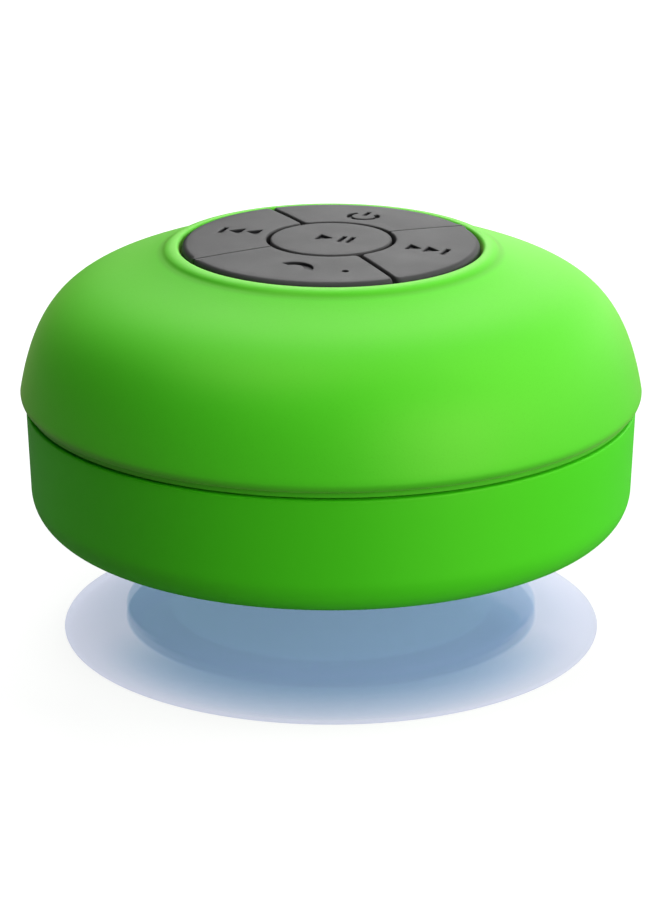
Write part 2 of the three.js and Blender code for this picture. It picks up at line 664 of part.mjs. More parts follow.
function driverYoke() {
  return revolve([
    [0, PLATE_FOOT],
    [POLE_RADIUS, PLATE_FOOT],
    [POLE_RADIUS, YOKE_FOOT],
    [MAGNET_RADIUS, YOKE_FOOT],
    [MAGNET_RADIUS, YOKE_TOP],
    [0, YOKE_TOP],
  ]);
}

// Leads from the driver's terminals up to the board.
function driverLead() {
  const [x, y] = [-19.2, -2];
  const bend = [[x - 0.4, y, 35], [x - 1.4, y, 41]];
  return lead(LEAD_RADIUS, [[x, y, 31.4], ...bend, [x - 1.8, y, BOARD.foot - RUN]]);
}

function driver() {
  const gasket = { inner: 22.5, outer: 25, foot: SEAT.top + MOUNTED, top: SURROUND.foot - MOUNTED };
  const plateTop = MAGNET_FOOT - MOUNTED;
  const topPlate = { inner: COIL.outer + RUN, outer: MAGNET_RADIUS, foot: PLATE_FOOT, top: plateTop };
  const magnet = { inner: 8.5, outer: MAGNET_RADIUS, foot: MAGNET_FOOT, top: YOKE_FOOT - MOUNTED };
  const mesh = { ...SOUND_MESH, foot: FLOOR + MOUNTED, top: FLOOR + MOUNTED + SOUND_MESH.thick };
  const cone = turnedSheet([[COIL.outer + FIT, 28.9], [19.9, 21.35]], 0.55);
  const cap = turnedSheet([[0, 25.8], [4.5, 26.4], [8.2, 27.9]], 0.42);
  return assembly(
    piece('driver_gasket', ring(gasket), FOAM),
    piece('driver_surround', driverSurround(), BLACK_PLASTIC),
    piece('driver_frame', driverFrame(), STEEL),
    piece('driver_cone', cone, PAPER),
    piece('dust_cap', cap, PAPER),
    piece('voice_coil', ring(COIL), COPPER),
    piece('driver_spider', driverSpider(), FOAM),
    piece('driver_top_plate', ring(topPlate), STEEL),
    piece('driver_magnet', ring(magnet), FERRITE),
    piece('driver_yoke', driverYoke(), STEEL),
    piece('driver_lead', driverLead(), CABLE_RED),
    piece('sound_mesh', ring(mesh), FOAM),
  );
}

// ---------- suction cup ----------

// Disc with a thick middle, a thin lip, a neck and a knob that snaps into the hub.
function suctionCup() {
  const profile = [
    [0, 5.6], [15, 4.2], [STEP_RADIUS, 1.7], [RIM_LAND, 0], [RIM_RADIUS, 0], [RIM_RADIUS, 0.5],
    [33.5, 1.7], [STEP_RADIUS + 0.3, 2.9], [STEP_RADIUS - 0.1, 3.6], [21, 5.5], [14, 7.2],
    [11.2, 8.6], [CUP_NECK.radius + 0.3, 10.6], [CUP_NECK.radius, CUP_NECK.top],
    [3.5, CUP_NECK.top], [3.5, 14.15], [4.8, 14.15], [4.5, 15], [0, 15],
  ];
  return revolve(profile, FINE);
}

// Turning disc below the housing. Its underside grips the cup's knob and its spigot holds the screw.
function cupHub() {
  const { radius, foot, top, spigot, spigotTop, edge } = HUB;
  const grip = [[3.9, foot], [3.9, 13.9], [5.1, 13.9], [5.1, 15.2], [0, 15.2]];
  const { inner, outer, foot: floor } = SEAL_GROOVE;
  const groove = [[inner, top], [inner, floor], [outer, floor], [outer, top]];
  const bore = [[0, HUB_PILOT.foot], [HUB_PILOT.radius, HUB_PILOT.foot], [HUB_PILOT.radius, spigotTop]];
  const side = [[spigot, spigotTop], [spigot, top], ...groove, [radius - edge, top]];
  return revolve([...bore, ...side, [radius, top - edge], [radius, foot], ...grip]);
}

function hubScrew() {
  const { head, shank, foot, headFoot, headTop, drive } = HUB_SCREW;
  const blank = rod(head, headFoot, headTop, [0, 0], MEDIUM).add(rod(shank, foot, headFoot + FIT));
  const half = DRIVE.width / 2;
  const slot = block([-drive / 2, drive / 2], [-half, half], [headTop - DRIVE.depth, headTop + REACH]);
  return cut(blank, [slot, slot.rotate([0, 0, 90])]);
}

function hubSeal() {
  const { radius, section, height } = SEAL_RING;
  return toSolid(new THREE.TorusGeometry(radius, section, 6, FINE / 2).translate(0, 0, height));
}

function cupMount() {
  return assembly(
    piece('suction_cup', suctionCup(), CLEAR_VINYL),
    piece('cup_hub', cupHub(), GREEN),
    piece('hub_seal', hubSeal(), BLACK_PLASTIC),
    piece('hub_washer', ring(WASHER), STEEL),
    piece('hub_screw', hubScrew(), STEEL),
  );
}

export default assembly(casing(), keypad(), electronics(), chargingPort(), driver(), cupMount());
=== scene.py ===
"""Looks for a round shower speaker: a green dome with grey keys on top, standing on a clear suction cup.

Sizes are in millimetres in the frame's own axes: +Z up, +Y to the back. Meshes are built in metres.
"""
import math

import bmesh
import bpy
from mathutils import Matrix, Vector
from mathutils.geometry import delaunay_2d_cdt


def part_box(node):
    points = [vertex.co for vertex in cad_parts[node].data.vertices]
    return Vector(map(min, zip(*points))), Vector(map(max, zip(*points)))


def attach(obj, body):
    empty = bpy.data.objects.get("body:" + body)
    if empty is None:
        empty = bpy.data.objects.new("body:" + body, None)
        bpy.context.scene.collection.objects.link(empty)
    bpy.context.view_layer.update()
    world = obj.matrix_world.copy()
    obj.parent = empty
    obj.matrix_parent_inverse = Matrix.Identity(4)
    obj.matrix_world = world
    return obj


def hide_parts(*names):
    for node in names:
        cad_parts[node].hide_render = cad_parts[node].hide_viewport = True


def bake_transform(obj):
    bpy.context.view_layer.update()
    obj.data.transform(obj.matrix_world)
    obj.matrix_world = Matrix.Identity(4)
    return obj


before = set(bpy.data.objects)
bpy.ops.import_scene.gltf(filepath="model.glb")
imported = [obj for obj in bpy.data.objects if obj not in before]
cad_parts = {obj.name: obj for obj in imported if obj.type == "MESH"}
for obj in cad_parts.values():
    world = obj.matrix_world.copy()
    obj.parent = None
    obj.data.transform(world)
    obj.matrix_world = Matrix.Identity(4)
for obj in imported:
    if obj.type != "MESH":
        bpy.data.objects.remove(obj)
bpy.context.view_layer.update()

MM = 0.001


def corners(node):
    """Lowest and highest corner of a CAD node, in millimetres."""
    low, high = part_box(node)
    return low / MM, high / MM


# ---------- sizes ----------

COVER_LOW, COVER_HIGH = corners("dome_cover")
BASE_LOW, BASE_HIGH = corners("base_shell")
KEY_LOW, KEY_HIGH = corners("play_key")
SECTOR_HIGH = corners("next_key")[1]
CUP_HIGH = corners("suction_cup")[1]
HUB_LOW, HUB_HIGH = corners("cup_hub")
FLAP_LOW, FLAP_HIGH = corners("port_flap")
TETHER_LOW, TETHER_HIGH = corners("flap_tether")
PLUG_LOW, PLUG_HIGH = corners("screw_plug_1")
SURROUND_HIGH = corners("driver_surround")[1]
SPIDER_LOW, SPIDER_HIGH = corners("driver_spider")

# Dome cover: one curve from the foot of the keypad ring to the lip.
RING_HIGH = COVER_HIGH.z
RING_BORE = 20.86
RING_FOOT = (23.1, 54.64)
DOME_PULLS = ((33.05, 50.25), (40.14, 51.18))
LIP = (COVER_HIGH.x, 35.3)
LIP_FOOT = (42.27, 34.17)
SKIRT_FOOT = (41.9, COVER_LOW.z)  # the cover steps in below its lip, and leaves a groove above the wall
COVER_THICK = 1.6

# Base shell.
BOTTOM = BASE_LOW.z
FLOOR = BOTTOM + 2.2
BOTTOM_FILLET = 5.38
WALL_FOOT_RADIUS = 41.85
WALL_TOP = (BASE_HIGH.x, 33.05)
WALL_ROWS = (26, 30)  # heights of the rows of points between the wall's foot and its top
WALL_THICK = 2.2
TONGUE = (37.2, 38.5, BASE_HIGH.z)
SEAT = (22, 26.5, 20.2)
HUB_BORE = 5.3
COLUMN_RING = 31
COLUMN_ANGLES = (45, 135, 225, 315)
COLUMN_RADIUS = 4.6
COLUMN_TOP = 34.3
PLUG_BORE = 2.9
HEAD_TOP = 27
SCREW_HOLE = 1.5

# Keypad.
KEY_TOP = KEY_HIGH.z
KEY_CROWN = 350
KEY_FOOT = 53.9
NUB_FOOT = KEY_LOW.z
NUB_RADIUS = 1.6
KEYPAD_RADIUS = SECTOR_HIGH.x
PLAY_RADIUS = KEY_HIGH.x
GROOVE = 0.5
FINE_GROOVE = 0.16  # the two dividers along the 45 degree line look much finer than the other two
KEY_PITCH = 14.3
KEY_ROUND = 0.8
GROOVE_ROUND = 0.3
FINE_ROUND = 0.1
PINHOLE = (7.06, -13.8, 0.5)
MARK_DEPTH = 0.4
MARK_EDGE = 0.15

# Charging port.
PORT = (5.35, 24.25, 29.75)
RECESS_RADIUS = 40.85
FLAP_GAP = 0.3
FLAP_CORNER = 1.6
FLAP_PLUG = (4.6, 24.6, 29.4)
FLAP_BACK = -0.9  # inside of the flap's plate, measured from the wall's surface
HINGE_X = -6.9

# Suction cup and hub.
RIM_LAND = 36
STEP_RADIUS = 28.7
# Radius of a painted reflection ring on the cup's underside.
REFLECTION_RING_RADIUS = 22.6
NECK_RADIUS = 9.5
NECK_TOP = 13
KNOB_TOP = CUP_HIGH.z
HUB_TOP = 15.9
SOUND_MESH_BORE = 12

# Loudspeaker's suspension.
SUSPENSION_THICK = 0.3
ROLL = (21, 1.15)  # radius of the middle of the half roll, and its depth
SURROUND_BORE = 19.3
SPIDER_BORE = 7.5
SPIDER_WAVES = 4

# Studio.
CAMERA = (159.7, -438.7, 184.7)
LOOK_AT = (0, 0, 25.55)
LENS = 141.2
LENS_SHIFT = -0.00111
LIGHT_AIM = (0, 0, 30)
LIGHT_DISTANCE = 700
LIGHT_SIZE = 450
SOFTBOXES = (  # name, bearing anticlockwise from +X, elevation, watts
    ("key", -25, 15, 2.4),
    ("side_low", 20, 15, 0.85),
    ("side_high", 20, 55, 1.35),
    ("rear_side", 60, 15, 0.8),
    ("back", 110, 40, 2.2),
    ("low_back", 95, 10, 0.7),
    ("overhead", 235, 72, 1.5),
)
FLOOR_BOUNCE = (0.3, 0.3, 0.3)
FLOOR_GLOW = 0.84

ROUND = 192  # facets round the casing
WELD = 0.001  # points closer than this are one point


# ---------- mesh building ----------

def add_mesh(name, points, faces, sharp=38, face_finish=()):
    """A mesh object from points in millimetres, smooth except across edges sharper than an angle."""
    mesh = bpy.data.meshes.new(name)
    mesh.from_pydata([[c * MM for c in p] for p in points], [], faces)
    for index, slot in enumerate(face_finish):
        mesh.polygons[index].material_index = slot
    mesh.validate()
    mesh.update()
    obj = bpy.data.objects.new(name, mesh)
    bpy.context.scene.collection.objects.link(obj)
    smooth(obj, sharp)
    return obj


def smooth(obj, sharp=38):
    obj.data.polygons.foreach_set("use_smooth", [True] * len(obj.data.polygons))
    obj.data.set_sharp_from_angle(angle=math.radians(sharp))


def turn(profile, segments=ROUND):
    """Points and faces of a closed [radius, height] profile turned about the Z axis, faces out.

    The profile runs anticlockwise with the radius to the right, and may start and end on the axis.
    """
    on_axis = profile[0][0] == 0 and profile[-1][0] == 0
    points, rows = [], []
    for radius, height in profile:
        if radius == 0:
            rows.append([len(points)] * segments)
            points.append((0, 0, height))
            continue
        rows.append([len(points) + k for k in range(segments)])
        for k in range(segments):
            angle = 2 * math.pi * k / segments
            points.append((radius * math.cos(angle), radius * math.sin(angle), height))
    faces = []
    pairs = list(zip(rows, rows[1:])) + ([] if on_axis else [(rows[-1], rows[0])])
    for low, high in pairs:
        for k in range(segments):
            n = (k + 1) % segments
            face = [low[k], low[n], high[n], high[k]]
            faces.append([v for i, v in enumerate(face) if v not in face[:i]])
    return points, [f for f in faces if len(f) > 2]


def revolved(name, profile, sharp=40, segments=ROUND):
    """A turned piece."""
    return add_mesh(name, *turn(profile, segments), sharp)


def arc(centre, radii, start, end, steps):
    """Points of an elliptical arc between two angles in degrees."""
    angles = [math.radians(start + (end - start) * i / steps) for i in range(steps + 1)]
    return [(centre[0] + radii[0] * math.cos(a), centre[1] + radii[1] * math.sin(a)) for a in angles]


def bezier(points, steps):
    """Points and unit tangents of a cubic curve."""
    p0, p1, p2, p3 = (Vector(p) for p in points)
    made = []
    for i in range(steps + 1):
        t = i / steps
        s = 1 - t
        point = p0 * s ** 3 + p1 * 3 * s * s * t + p2 * 3 * s * t * t + p3 * t ** 3
        along = ((p1 - p0) * s * s + (p2 - p1) * 2 * s * t + (p3 - p2) * t * t).normalized()
        made.append((point, along))
    return made


def curve(points, steps):
    """Points of a cubic curve."""
    return [point.to_tuple() for point, _ in bezier(points, steps)]


def bend(start, corner, end, shares):
    """Points of the curve that rounds a corner off, each a share of the way from start to end."""
    return [tuple(start * (1 - t) ** 2 + corner * 2 * t * (1 - t) + end * t * t) for t in shares]


def softened(profile, radius, steps=3):
    """The profile with each corner named in radius, {index: size}, rounded over."""
    made = []
    count = len(profile)
    for i, corner in enumerate(profile):
        size = radius.get(i)
        if not size:
            made.append(corner)
            continue
        here = Vector(corner)
        before = (Vector(profile[i - 1]) - here).normalized()
        after = (Vector(profile[(i + 1) % count]) - here).normalized()
        shares = [k / steps for k in range(steps + 1)]
        made += bend(here + before * size, here, here + after * size, shares)
    return made


def inset(loop, distance):
    """A closed anticlockwise 2D loop moved in by a distance, or by a list of one for each point."""
    made = []
    count = len(loop)
    distances = distance if isinstance(distance, list) else [distance] * count
    for i, point in enumerate(loop):
        here = Vector(point)
        before = (here - Vector(loop[i - 1])).normalized()
        after = (Vector(loop[(i + 1) % count]) - here).normalized()
        normal = Vector((-before.y - after.y, before.x + after.x))
        scale = max(0.5, normal.length_squared / 2)
        made.append(tuple(here + normal * distances[i] / scale))
    return made


def inside(point, loop):
    """Whether a 2D point is within a loop, by the crossing rule."""
    x, y = point
    within = False
    for (x0, y0), (x1, y1) in zip(loop, loop[1:] + loop[:1]):
        if (y0 > y) != (y1 > y) and x < x0 + (y - y0) * (x1 - x0) / (y1 - y0):
            within = not within
    return within


def clear_of(point, loops, distance):
    return all((Vector(point) - Vector(p)).length > distance for loop in loops for p in loop)


def fill(outline, holes, spacing=None):
    """2D points and anticlockwise triangles that fill an outline round its holes, all anticlockwise loops.

    The outline's points come first and the holes' follow, in order. With a spacing, points of a grid
    inside are added, so that the sheet can be curved.
    """
    loops = [outline, *holes]
    points, bounds = [], []
    for loop in loops:
        bounds.append(list(range(len(points), len(points) + len(loop))))
        points += loop
    if spacing:
        xs, ys = zip(*outline)
        columns = int((max(xs) - min(xs)) / spacing)
        rows = int((max(ys) - min(ys)) / spacing)
        for i in range(1, columns + 1):
            for j in range(1, rows + 1):
                spot = (min(xs) + i * spacing, min(ys) + j * spacing)
                free = inside(spot, outline) and not any(inside(spot, hole) for hole in holes)
                if free and clear_of(spot, loops, spacing * 0.6):
                    points.append(spot)
    made = delaunay_2d_cdt([Vector(p) for p in points], [], bounds, 0, 1e-7, True)
    source = [origin[0] for origin in made[3]]
    return points, [[source[i] for i in corner] for corner, within in zip(made[2], made[5]) if within == [0]]


class Sheet:
    """Collects rings of points and the faces between them for one closed piece."""

    def __init__(self, place):
        self.place = place
        self.points = []
        self.faces = []
        self.slots = []

    def ring(self, loop, heights):
        first = len(self.points)
        self.points += [self.place(u, v, h) for (u, v), h in zip(loop, heights)]
        return list(range(first, len(self.points)))

    def face(self, indices, slot=0):
        self.faces.append(indices)
        self.slots.append(slot)

    def band(self, low, high, slot=0):
        """Faces between two rings; they face out when the rings run anticlockwise and high is above."""
        count = len(low)
        for i in range(count):
            n = (i + 1) % count
            self.face([low[i], low[n], high[n], high[i]], slot)

    def cap(self, edges, height=None, spacing=None, up=True, slot=0):
        """Fills the first edge round the others. Each is a loop and the ring of points made for it."""
        points, triangles = fill(edges[0][0], [loop for loop, _ in edges[1:]], spacing)
        index = [i for _, ring in edges for i in ring]
        for u, v in points[len(index):]:
            index.append(len(self.points))
            self.points.append(self.place(u, v, height(u, v)))
        for a, b, c in triangles:
            corner = [index[a], index[b], index[c]]
            self.face(corner if up else corner[::-1], slot)


def plate(name, outline, top, foot, edges, place, marks=(), holes=(), nub=None, spacing=0.9):
    """A closed plate with rounded top edges, sunk marks, through holes and an optional nub below.

    top is a function of (u, v), foot a height, and edges the size of the rounding at each point of the
    outline. place turns (u, v, height) into a point in the frame.
    """
    sheet = Sheet(place)
    bottom = sheet.ring(outline, [foot] * len(outline))
    rings = bottom
    steps = 5
    for i in range(steps + 1):
        angle = math.pi / 2 * i / steps
        loop = inset(outline, [size * (1 - math.cos(angle)) for size in edges])
        heights = [top(u, v) - size * (1 - math.sin(angle)) for (u, v), size in zip(loop, edges)]
        ring = sheet.ring(loop, heights)
        sheet.band(rings, ring)
        rings = ring
    above = [(loop, rings), *((mark, sink(sheet, mark, top)) for mark in marks)]
    below = [(outline, bottom)]
    for hole in holes:
        mouth = sheet.ring(hole, [top(u, v) for u, v in hole])
        base = sheet.ring(hole, [foot] * len(hole))
        # The hole's wall takes slot 1, painted shade.
        sheet.band(mouth, base, 1)
        above.append((hole, mouth))
        below.append((hole, base))
    sheet.cap(above, top, spacing)
    if nub:
        below.append(stand(sheet, nub, foot))
    sheet.cap(below, up=False)
    return add_mesh(name, sheet.points, sheet.faces, 32, sheet.slots)


def sink(sheet, mark, top):
    """Walls and floor of a sunk mark, with a softened upper edge; the lower wall and the floor take slot 1,
    painted shade. Returns the ring at its mouth.
    """
    steps = 4
    mouth = ring = sheet.ring(mark, [top(u, v) for u, v in mark])
    for i in range(1, steps + 1):
        angle = math.pi / 2 * i / steps
        loop = inset(mark, MARK_EDGE * math.sin(angle))
        drop = MARK_EDGE * (1 - math.cos(angle))
        now = sheet.ring(loop, [top(u, v) - drop for u, v in loop])
        sheet.band(ring, now, 0 if i < steps else 1)
        ring = now
    floor_ring = sheet.ring(loop, [top(u, v) - MARK_DEPTH for u, v in loop])
    sheet.band(ring, floor_ring, 1)
    sheet.cap([(loop, floor_ring)], slot=1)
    return mouth


def stand(sheet, nub, foot):
    """A round nub below a plate. Returns its loop and the ring where it meets the plate."""
    (x, y), radius, low = nub
    loop = circle(x, y, radius, 24)
    root = sheet.ring(loop, [foot] * len(loop))
    tip = sheet.ring(loop, [low] * len(loop))
    sheet.band(tip, root)
    sheet.cap([(loop, tip)], up=False)
    return loop, root


def box(x0, x1, y0, y1):
    """Corners of a rectangle, anticlockwise."""
    return [(x0, y0), (x1, y0), (x1, y1), (x0, y1)]


def circle(x, y, radius, count):
    return [(x + radius * math.cos(2 * math.pi * i / count),
             y + radius * math.sin(2 * math.pi * i / count)) for i in range(count)]


def rounded(corners_2d, radius, spacing=0.5, steps=5):
    """A closed polygon with round corners, with points along its straight sides too."""
    count = len(corners_2d)
    made = []
    for i, corner in enumerate(corners_2d):
        here = Vector(corner)
        before = Vector(corners_2d[i - 1]) - here
        after = Vector(corners_2d[(i + 1) % count]) - here
        half = before.angle(after) / 2
        reach = min(radius / math.tan(half), before.length * 0.45, after.length * 0.45)
        start, end = here + before.normalized() * reach, here + after.normalized() * reach
        if made:
            made += between(Vector(made[-1]), start, spacing)
        made += bend(start, here, end, [k / steps for k in range(steps + 1)])
    return made + between(Vector(made[-1]), Vector(made[0]), spacing)


def between(start, end, spacing):
    """Points along a straight line, without its ends."""
    pieces = max(1, int((end - start).length / spacing))
    return [tuple(start.lerp(end, k / pieces)) for k in range(1, pieces)]


def turned(points, degrees, shift=(0, 0)):
    """2D points turned about the origin and then moved."""
    c, s = math.cos(math.radians(degrees)), math.sin(math.radians(degrees))
    return [(shift[0] + x * c - y * s, shift[1] + x * s + y * c) for x, y in points]


def polar(radius, degrees):
    angle = math.radians(degrees)
    return (radius * math.cos(angle), radius * math.sin(angle))


def flattened(obj):
    """The object's mesh with its modifiers applied."""
    graph = bpy.context.evaluated_depsgraph_get()
    mesh = bpy.data.meshes.new_from_object(obj.evaluated_get(graph))
    shape = bmesh.new()
    shape.from_mesh(mesh)
    bmesh.ops.remove_doubles(shape, verts=shape.verts, dist=WELD * MM)
    bmesh.ops.dissolve_degenerate(shape, edges=shape.edges, dist=WELD * MM)
    shape.to_mesh(mesh)
    shape.free()
    obj.modifiers.clear()
    obj.data = mesh
    return obj


def combined(obj, operation, others):
    """Applies one boolean operation to an object with each of some closed meshes, and removes those."""
    for other in others:
        modifier = obj.modifiers.new(operation, "BOOLEAN")
        modifier.operation = operation
        modifier.solver = "EXACT"
        modifier.object = other
    bpy.context.view_layer.update()
    flattened(obj)
    for other in others:
        bpy.data.objects.remove(other)
    return obj


def finish_piece(obj, body, slot, *nodes):
    """Rides a piece on its body, gives it its slot and finish, and hides the CAD nodes it stands for."""
    obj.data.materials.append(FINISHES[slot])
    if body:
        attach(obj, body)
    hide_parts(*nodes)


# ---------- finishes ----------

class Finish:
    """A procedural material, laid out in the object's own space so that it stays put when a piece moves."""

    def __init__(self, name, colour, roughness, **settings):
        self.material = bpy.data.materials.new(name)
        self.material.use_nodes = True
        self.tree = self.material.node_tree
        self.surface = self.tree.nodes["Principled BSDF"]
        self.where = self.tree.nodes.new("ShaderNodeTexCoord").outputs["Object"]
        self.colour = self.constant(colour)
        self.roughness = self.number(roughness)
        for key, value in settings.items():
            self.surface.inputs[key.replace("_", " ").title().replace("Ior", "IOR")].default_value = value

    def add(self, kind, inputs=(), **settings):
        node = self.tree.nodes.new(kind)
        for key, value in settings.items():
            setattr(node, key, value)
        for key, value in dict(inputs).items():
            if isinstance(value, bpy.types.NodeSocket):
                self.tree.links.new(value, node.inputs[key])
            else:
                node.inputs[key].default_value = value
        return node

    def constant(self, colour):
        node = self.add("ShaderNodeRGB")
        node.outputs[0].default_value = (*colour, 1)
        return node.outputs[0]

    def number(self, value):
        node = self.add("ShaderNodeValue")
        node.outputs[0].default_value = value
        return node.outputs[0]

    def math(self, operation, *values):
        return self.add("ShaderNodeMath", enumerate(values), operation=operation).outputs[0]

    def times(self, a, b):
        return self.math("MULTIPLY", a, b)

    def noise(self, size, detail=2.0, rough=0.5, where=None):
        """Noise from 0 to 1 whose grains are about a size in millimetres."""
        inputs = {"Vector": where or self.where, "Scale": 1 / (size * MM), "Detail": detail}
        return self.add("ShaderNodeTexNoise", {**inputs, "Roughness": rough}).outputs["Fac"]

    def cells(self, size, feature="F1"):
        inputs = {"Vector": self.where, "Scale": 1 / (size * MM)}
        return self.add("ShaderNodeTexVoronoi", inputs, feature=feature).outputs["Distance"]

    def band(self, value, low, high):
        """0 below low, 1 above high and a smooth step between."""
        inputs = {"Value": value, "From Min": low, "From Max": high, "To Min": 0.0, "To Max": 1.0}
        return self.add("ShaderNodeMapRange", inputs, interpolation_type="SMOOTHSTEP").outputs["Result"]

    def fall(self, value, low, high):
        """1 below low, 0 above high and a smooth step between."""
        return self.math("SUBTRACT", 1.0, self.band(value, low, high))

    def hump(self, value, low, peak, high):
        """1 at the peak, falling smoothly to 0 at low and at high."""
        return self.times(self.band(value, low, peak), self.fall(value, peak, high))

    def split(self):
        """The X, Y and Z of the point, in millimetres."""
        scaled = self.add("ShaderNodeVectorMath", {0: self.where, "Scale": 1 / MM}, operation="SCALE")
        return self.add("ShaderNodeSeparateXYZ", {0: scaled.outputs[0]}).outputs

    def radius(self):
        """How far the point is from the Z axis, in millimetres."""
        x, y = self.split()[:2]
        return self.math("SQRT", self.math("ADD", self.times(x, x), self.times(y, y)))

    def blended(self, share, colour, other):
        """A colour on the way from one to another. Each is three numbers or a socket."""
        ends = [c if isinstance(c, bpy.types.NodeSocket) else self.constant(c) for c in (colour, other)]
        return self.add("ShaderNodeMix", {0: share, 6: ends[0], 7: ends[1]}, data_type="RGBA").outputs[2]

    def tint(self, value, amount, colour):
        """Blends the colour so far towards another by an amount times a value from 0 to 1."""
        self.colour = self.blended(self.times(value, amount), self.colour, colour)

    def scatter(self, value, amount):
        """Varies the roughness with a value from 0 to 1."""
        swing = self.times(self.math("SUBTRACT", value, 0.5), amount)
        self.roughness = self.math("ADD", self.roughness, swing)

    def relief(self, height, depth, strength=1.0):
        """Raises the surface by a height from 0 to 1 times a depth in millimetres."""
        inputs = {"Height": height, "Distance": depth * MM, "Strength": strength}
        before = self.surface.inputs["Normal"].links
        if before:
            inputs["Normal"] = before[0].from_socket
        self.tree.links.new(self.add("ShaderNodeBump", inputs).outputs[0], self.surface.inputs["Normal"])

    def made(self):
        self.tree.links.new(self.colour, self.surface.inputs["Base Color"])
        self.tree.links.new(self.roughness, self.surface.inputs["Roughness"])
        return self.material


def shade(colour, factor):
    return tuple(min(1, c * factor) for c in colour)


GREEN = (0.064, 0.8, 0.008)
GREEN_LIGHT = (0.085, 0.84, 0.012)
GREEN_GLOSS = (1.0, 1.0, 0.4, 1)
GREY = (0.056, 0.0555, 0.056)
# The vinyl's deep colours are partly the thick vinyl's own colour and partly painted shade and reflection;
# the thin ones also serve as a painted pale reflection where the flange is seen edge on.
VINYL_THIN = (0.8, 0.78, 0.88)
VINYL_DEEP = (0.3, 0.36, 0.62)
VINYL_THROUGH_THIN = (0.9, 0.92, 1.0)
VINYL_THROUGH_DEEP = (0.66, 0.83, 1.0)
# Colour of the painted reflection ring seen through the underside.
VINYL_THROUGH_REFLECTION_RING = (0.62, 0.76, 0.95)
FLANGE_DEEP = (0.41, 0.6)  # how edge-on the flange is seen where its deep colour fades into a painted pale reflection of the surroundings


def green_silicone():
    """Soft matt silicone: fine grain and uneven pigment, with painted shade in the fold under the lip and in
    the crease at the ring's foot.
    """
    look = Finish("green_silicone", GREEN, 0.55, specular_ior_level=0.8, sheen_weight=0.25,
                  sheen_roughness=0.5)
    look.surface.inputs["Sheen Tint"].default_value = GREEN_GLOSS
    look.surface.inputs["Specular Tint"].default_value = GREEN_GLOSS
    cloud = look.noise(14, 3)
    look.tint(cloud, 0.5, GREEN_LIGHT)
    grain = look.noise(0.22, 2)
    look.tint(look.band(grain, 0.55, 0.8), 0.25, shade(GREEN, 0.8))
    # Painted shade: darker in the fold under the lip and in the crease at the foot of the ring.
    under_lip_shade = look.hump(look.split()[2], SKIRT_FOOT[1] - 1, LIP_FOOT[1], LIP[1] + 0.4)
    foot = RING_FOOT[0]
    ring_foot_shade = look.hump(look.radius(), foot - 0.7, foot + 0.1, foot + 1.1)
    look.tint(under_lip_shade, 0.5, shade(GREEN, 0.4))
    look.tint(ring_foot_shade, 0.3, shade(GREEN, 0.4))
    look.scatter(cloud, 0.1)
    look.scatter(grain, 0.06)
    look.relief(grain, 0.012)
    look.relief(look.noise(3.5, 2), 0.012)
    return look.made()


def green_plastic():
    """Soft-touch paint over moulded plastic: a finer grain and a little more shine than the silicone."""
    look = Finish("green_plastic", GREEN, 0.55, specular_ior_level=0.5)
    look.surface.inputs["Specular Tint"].default_value = GREEN_GLOSS
    cloud = look.noise(18, 2)
    look.tint(cloud, 0.4, GREEN_LIGHT)
    grain = look.noise(0.14, 2)
    look.scatter(cloud, 0.08)
    look.relief(grain, 0.007)
    return look.made()


def grey_rubber():
    """Moulded silicone keys: a fine stipple, with lighter clouds whose shine varies."""
    look = Finish("grey_rubber", GREY, 0.5, specular_ior_level=0.2)
    stipple = look.noise(0.16, 2)
    cloud = look.noise(7, 3)
    look.tint(cloud, 0.35, shade(GREY, 1.22))
    look.tint(look.band(stipple, 0.58, 0.75), 0.3, shade(GREY, 0.75))
    look.scatter(cloud, 0.16)
    look.relief(stipple, 0.014)
    return look.made()


def icon_painted_shade():
    """Painted shade on the floors and lower walls of the sunk icons, and on the pinhole's wall."""
    look = Finish("icon_painted_shade", (0.012, 0.012, 0.014), 0.6)
    look.tint(look.noise(0.3), 0.4, (0.03, 0.03, 0.032))
    look.relief(look.noise(0.1), 0.01)
    return look.made()


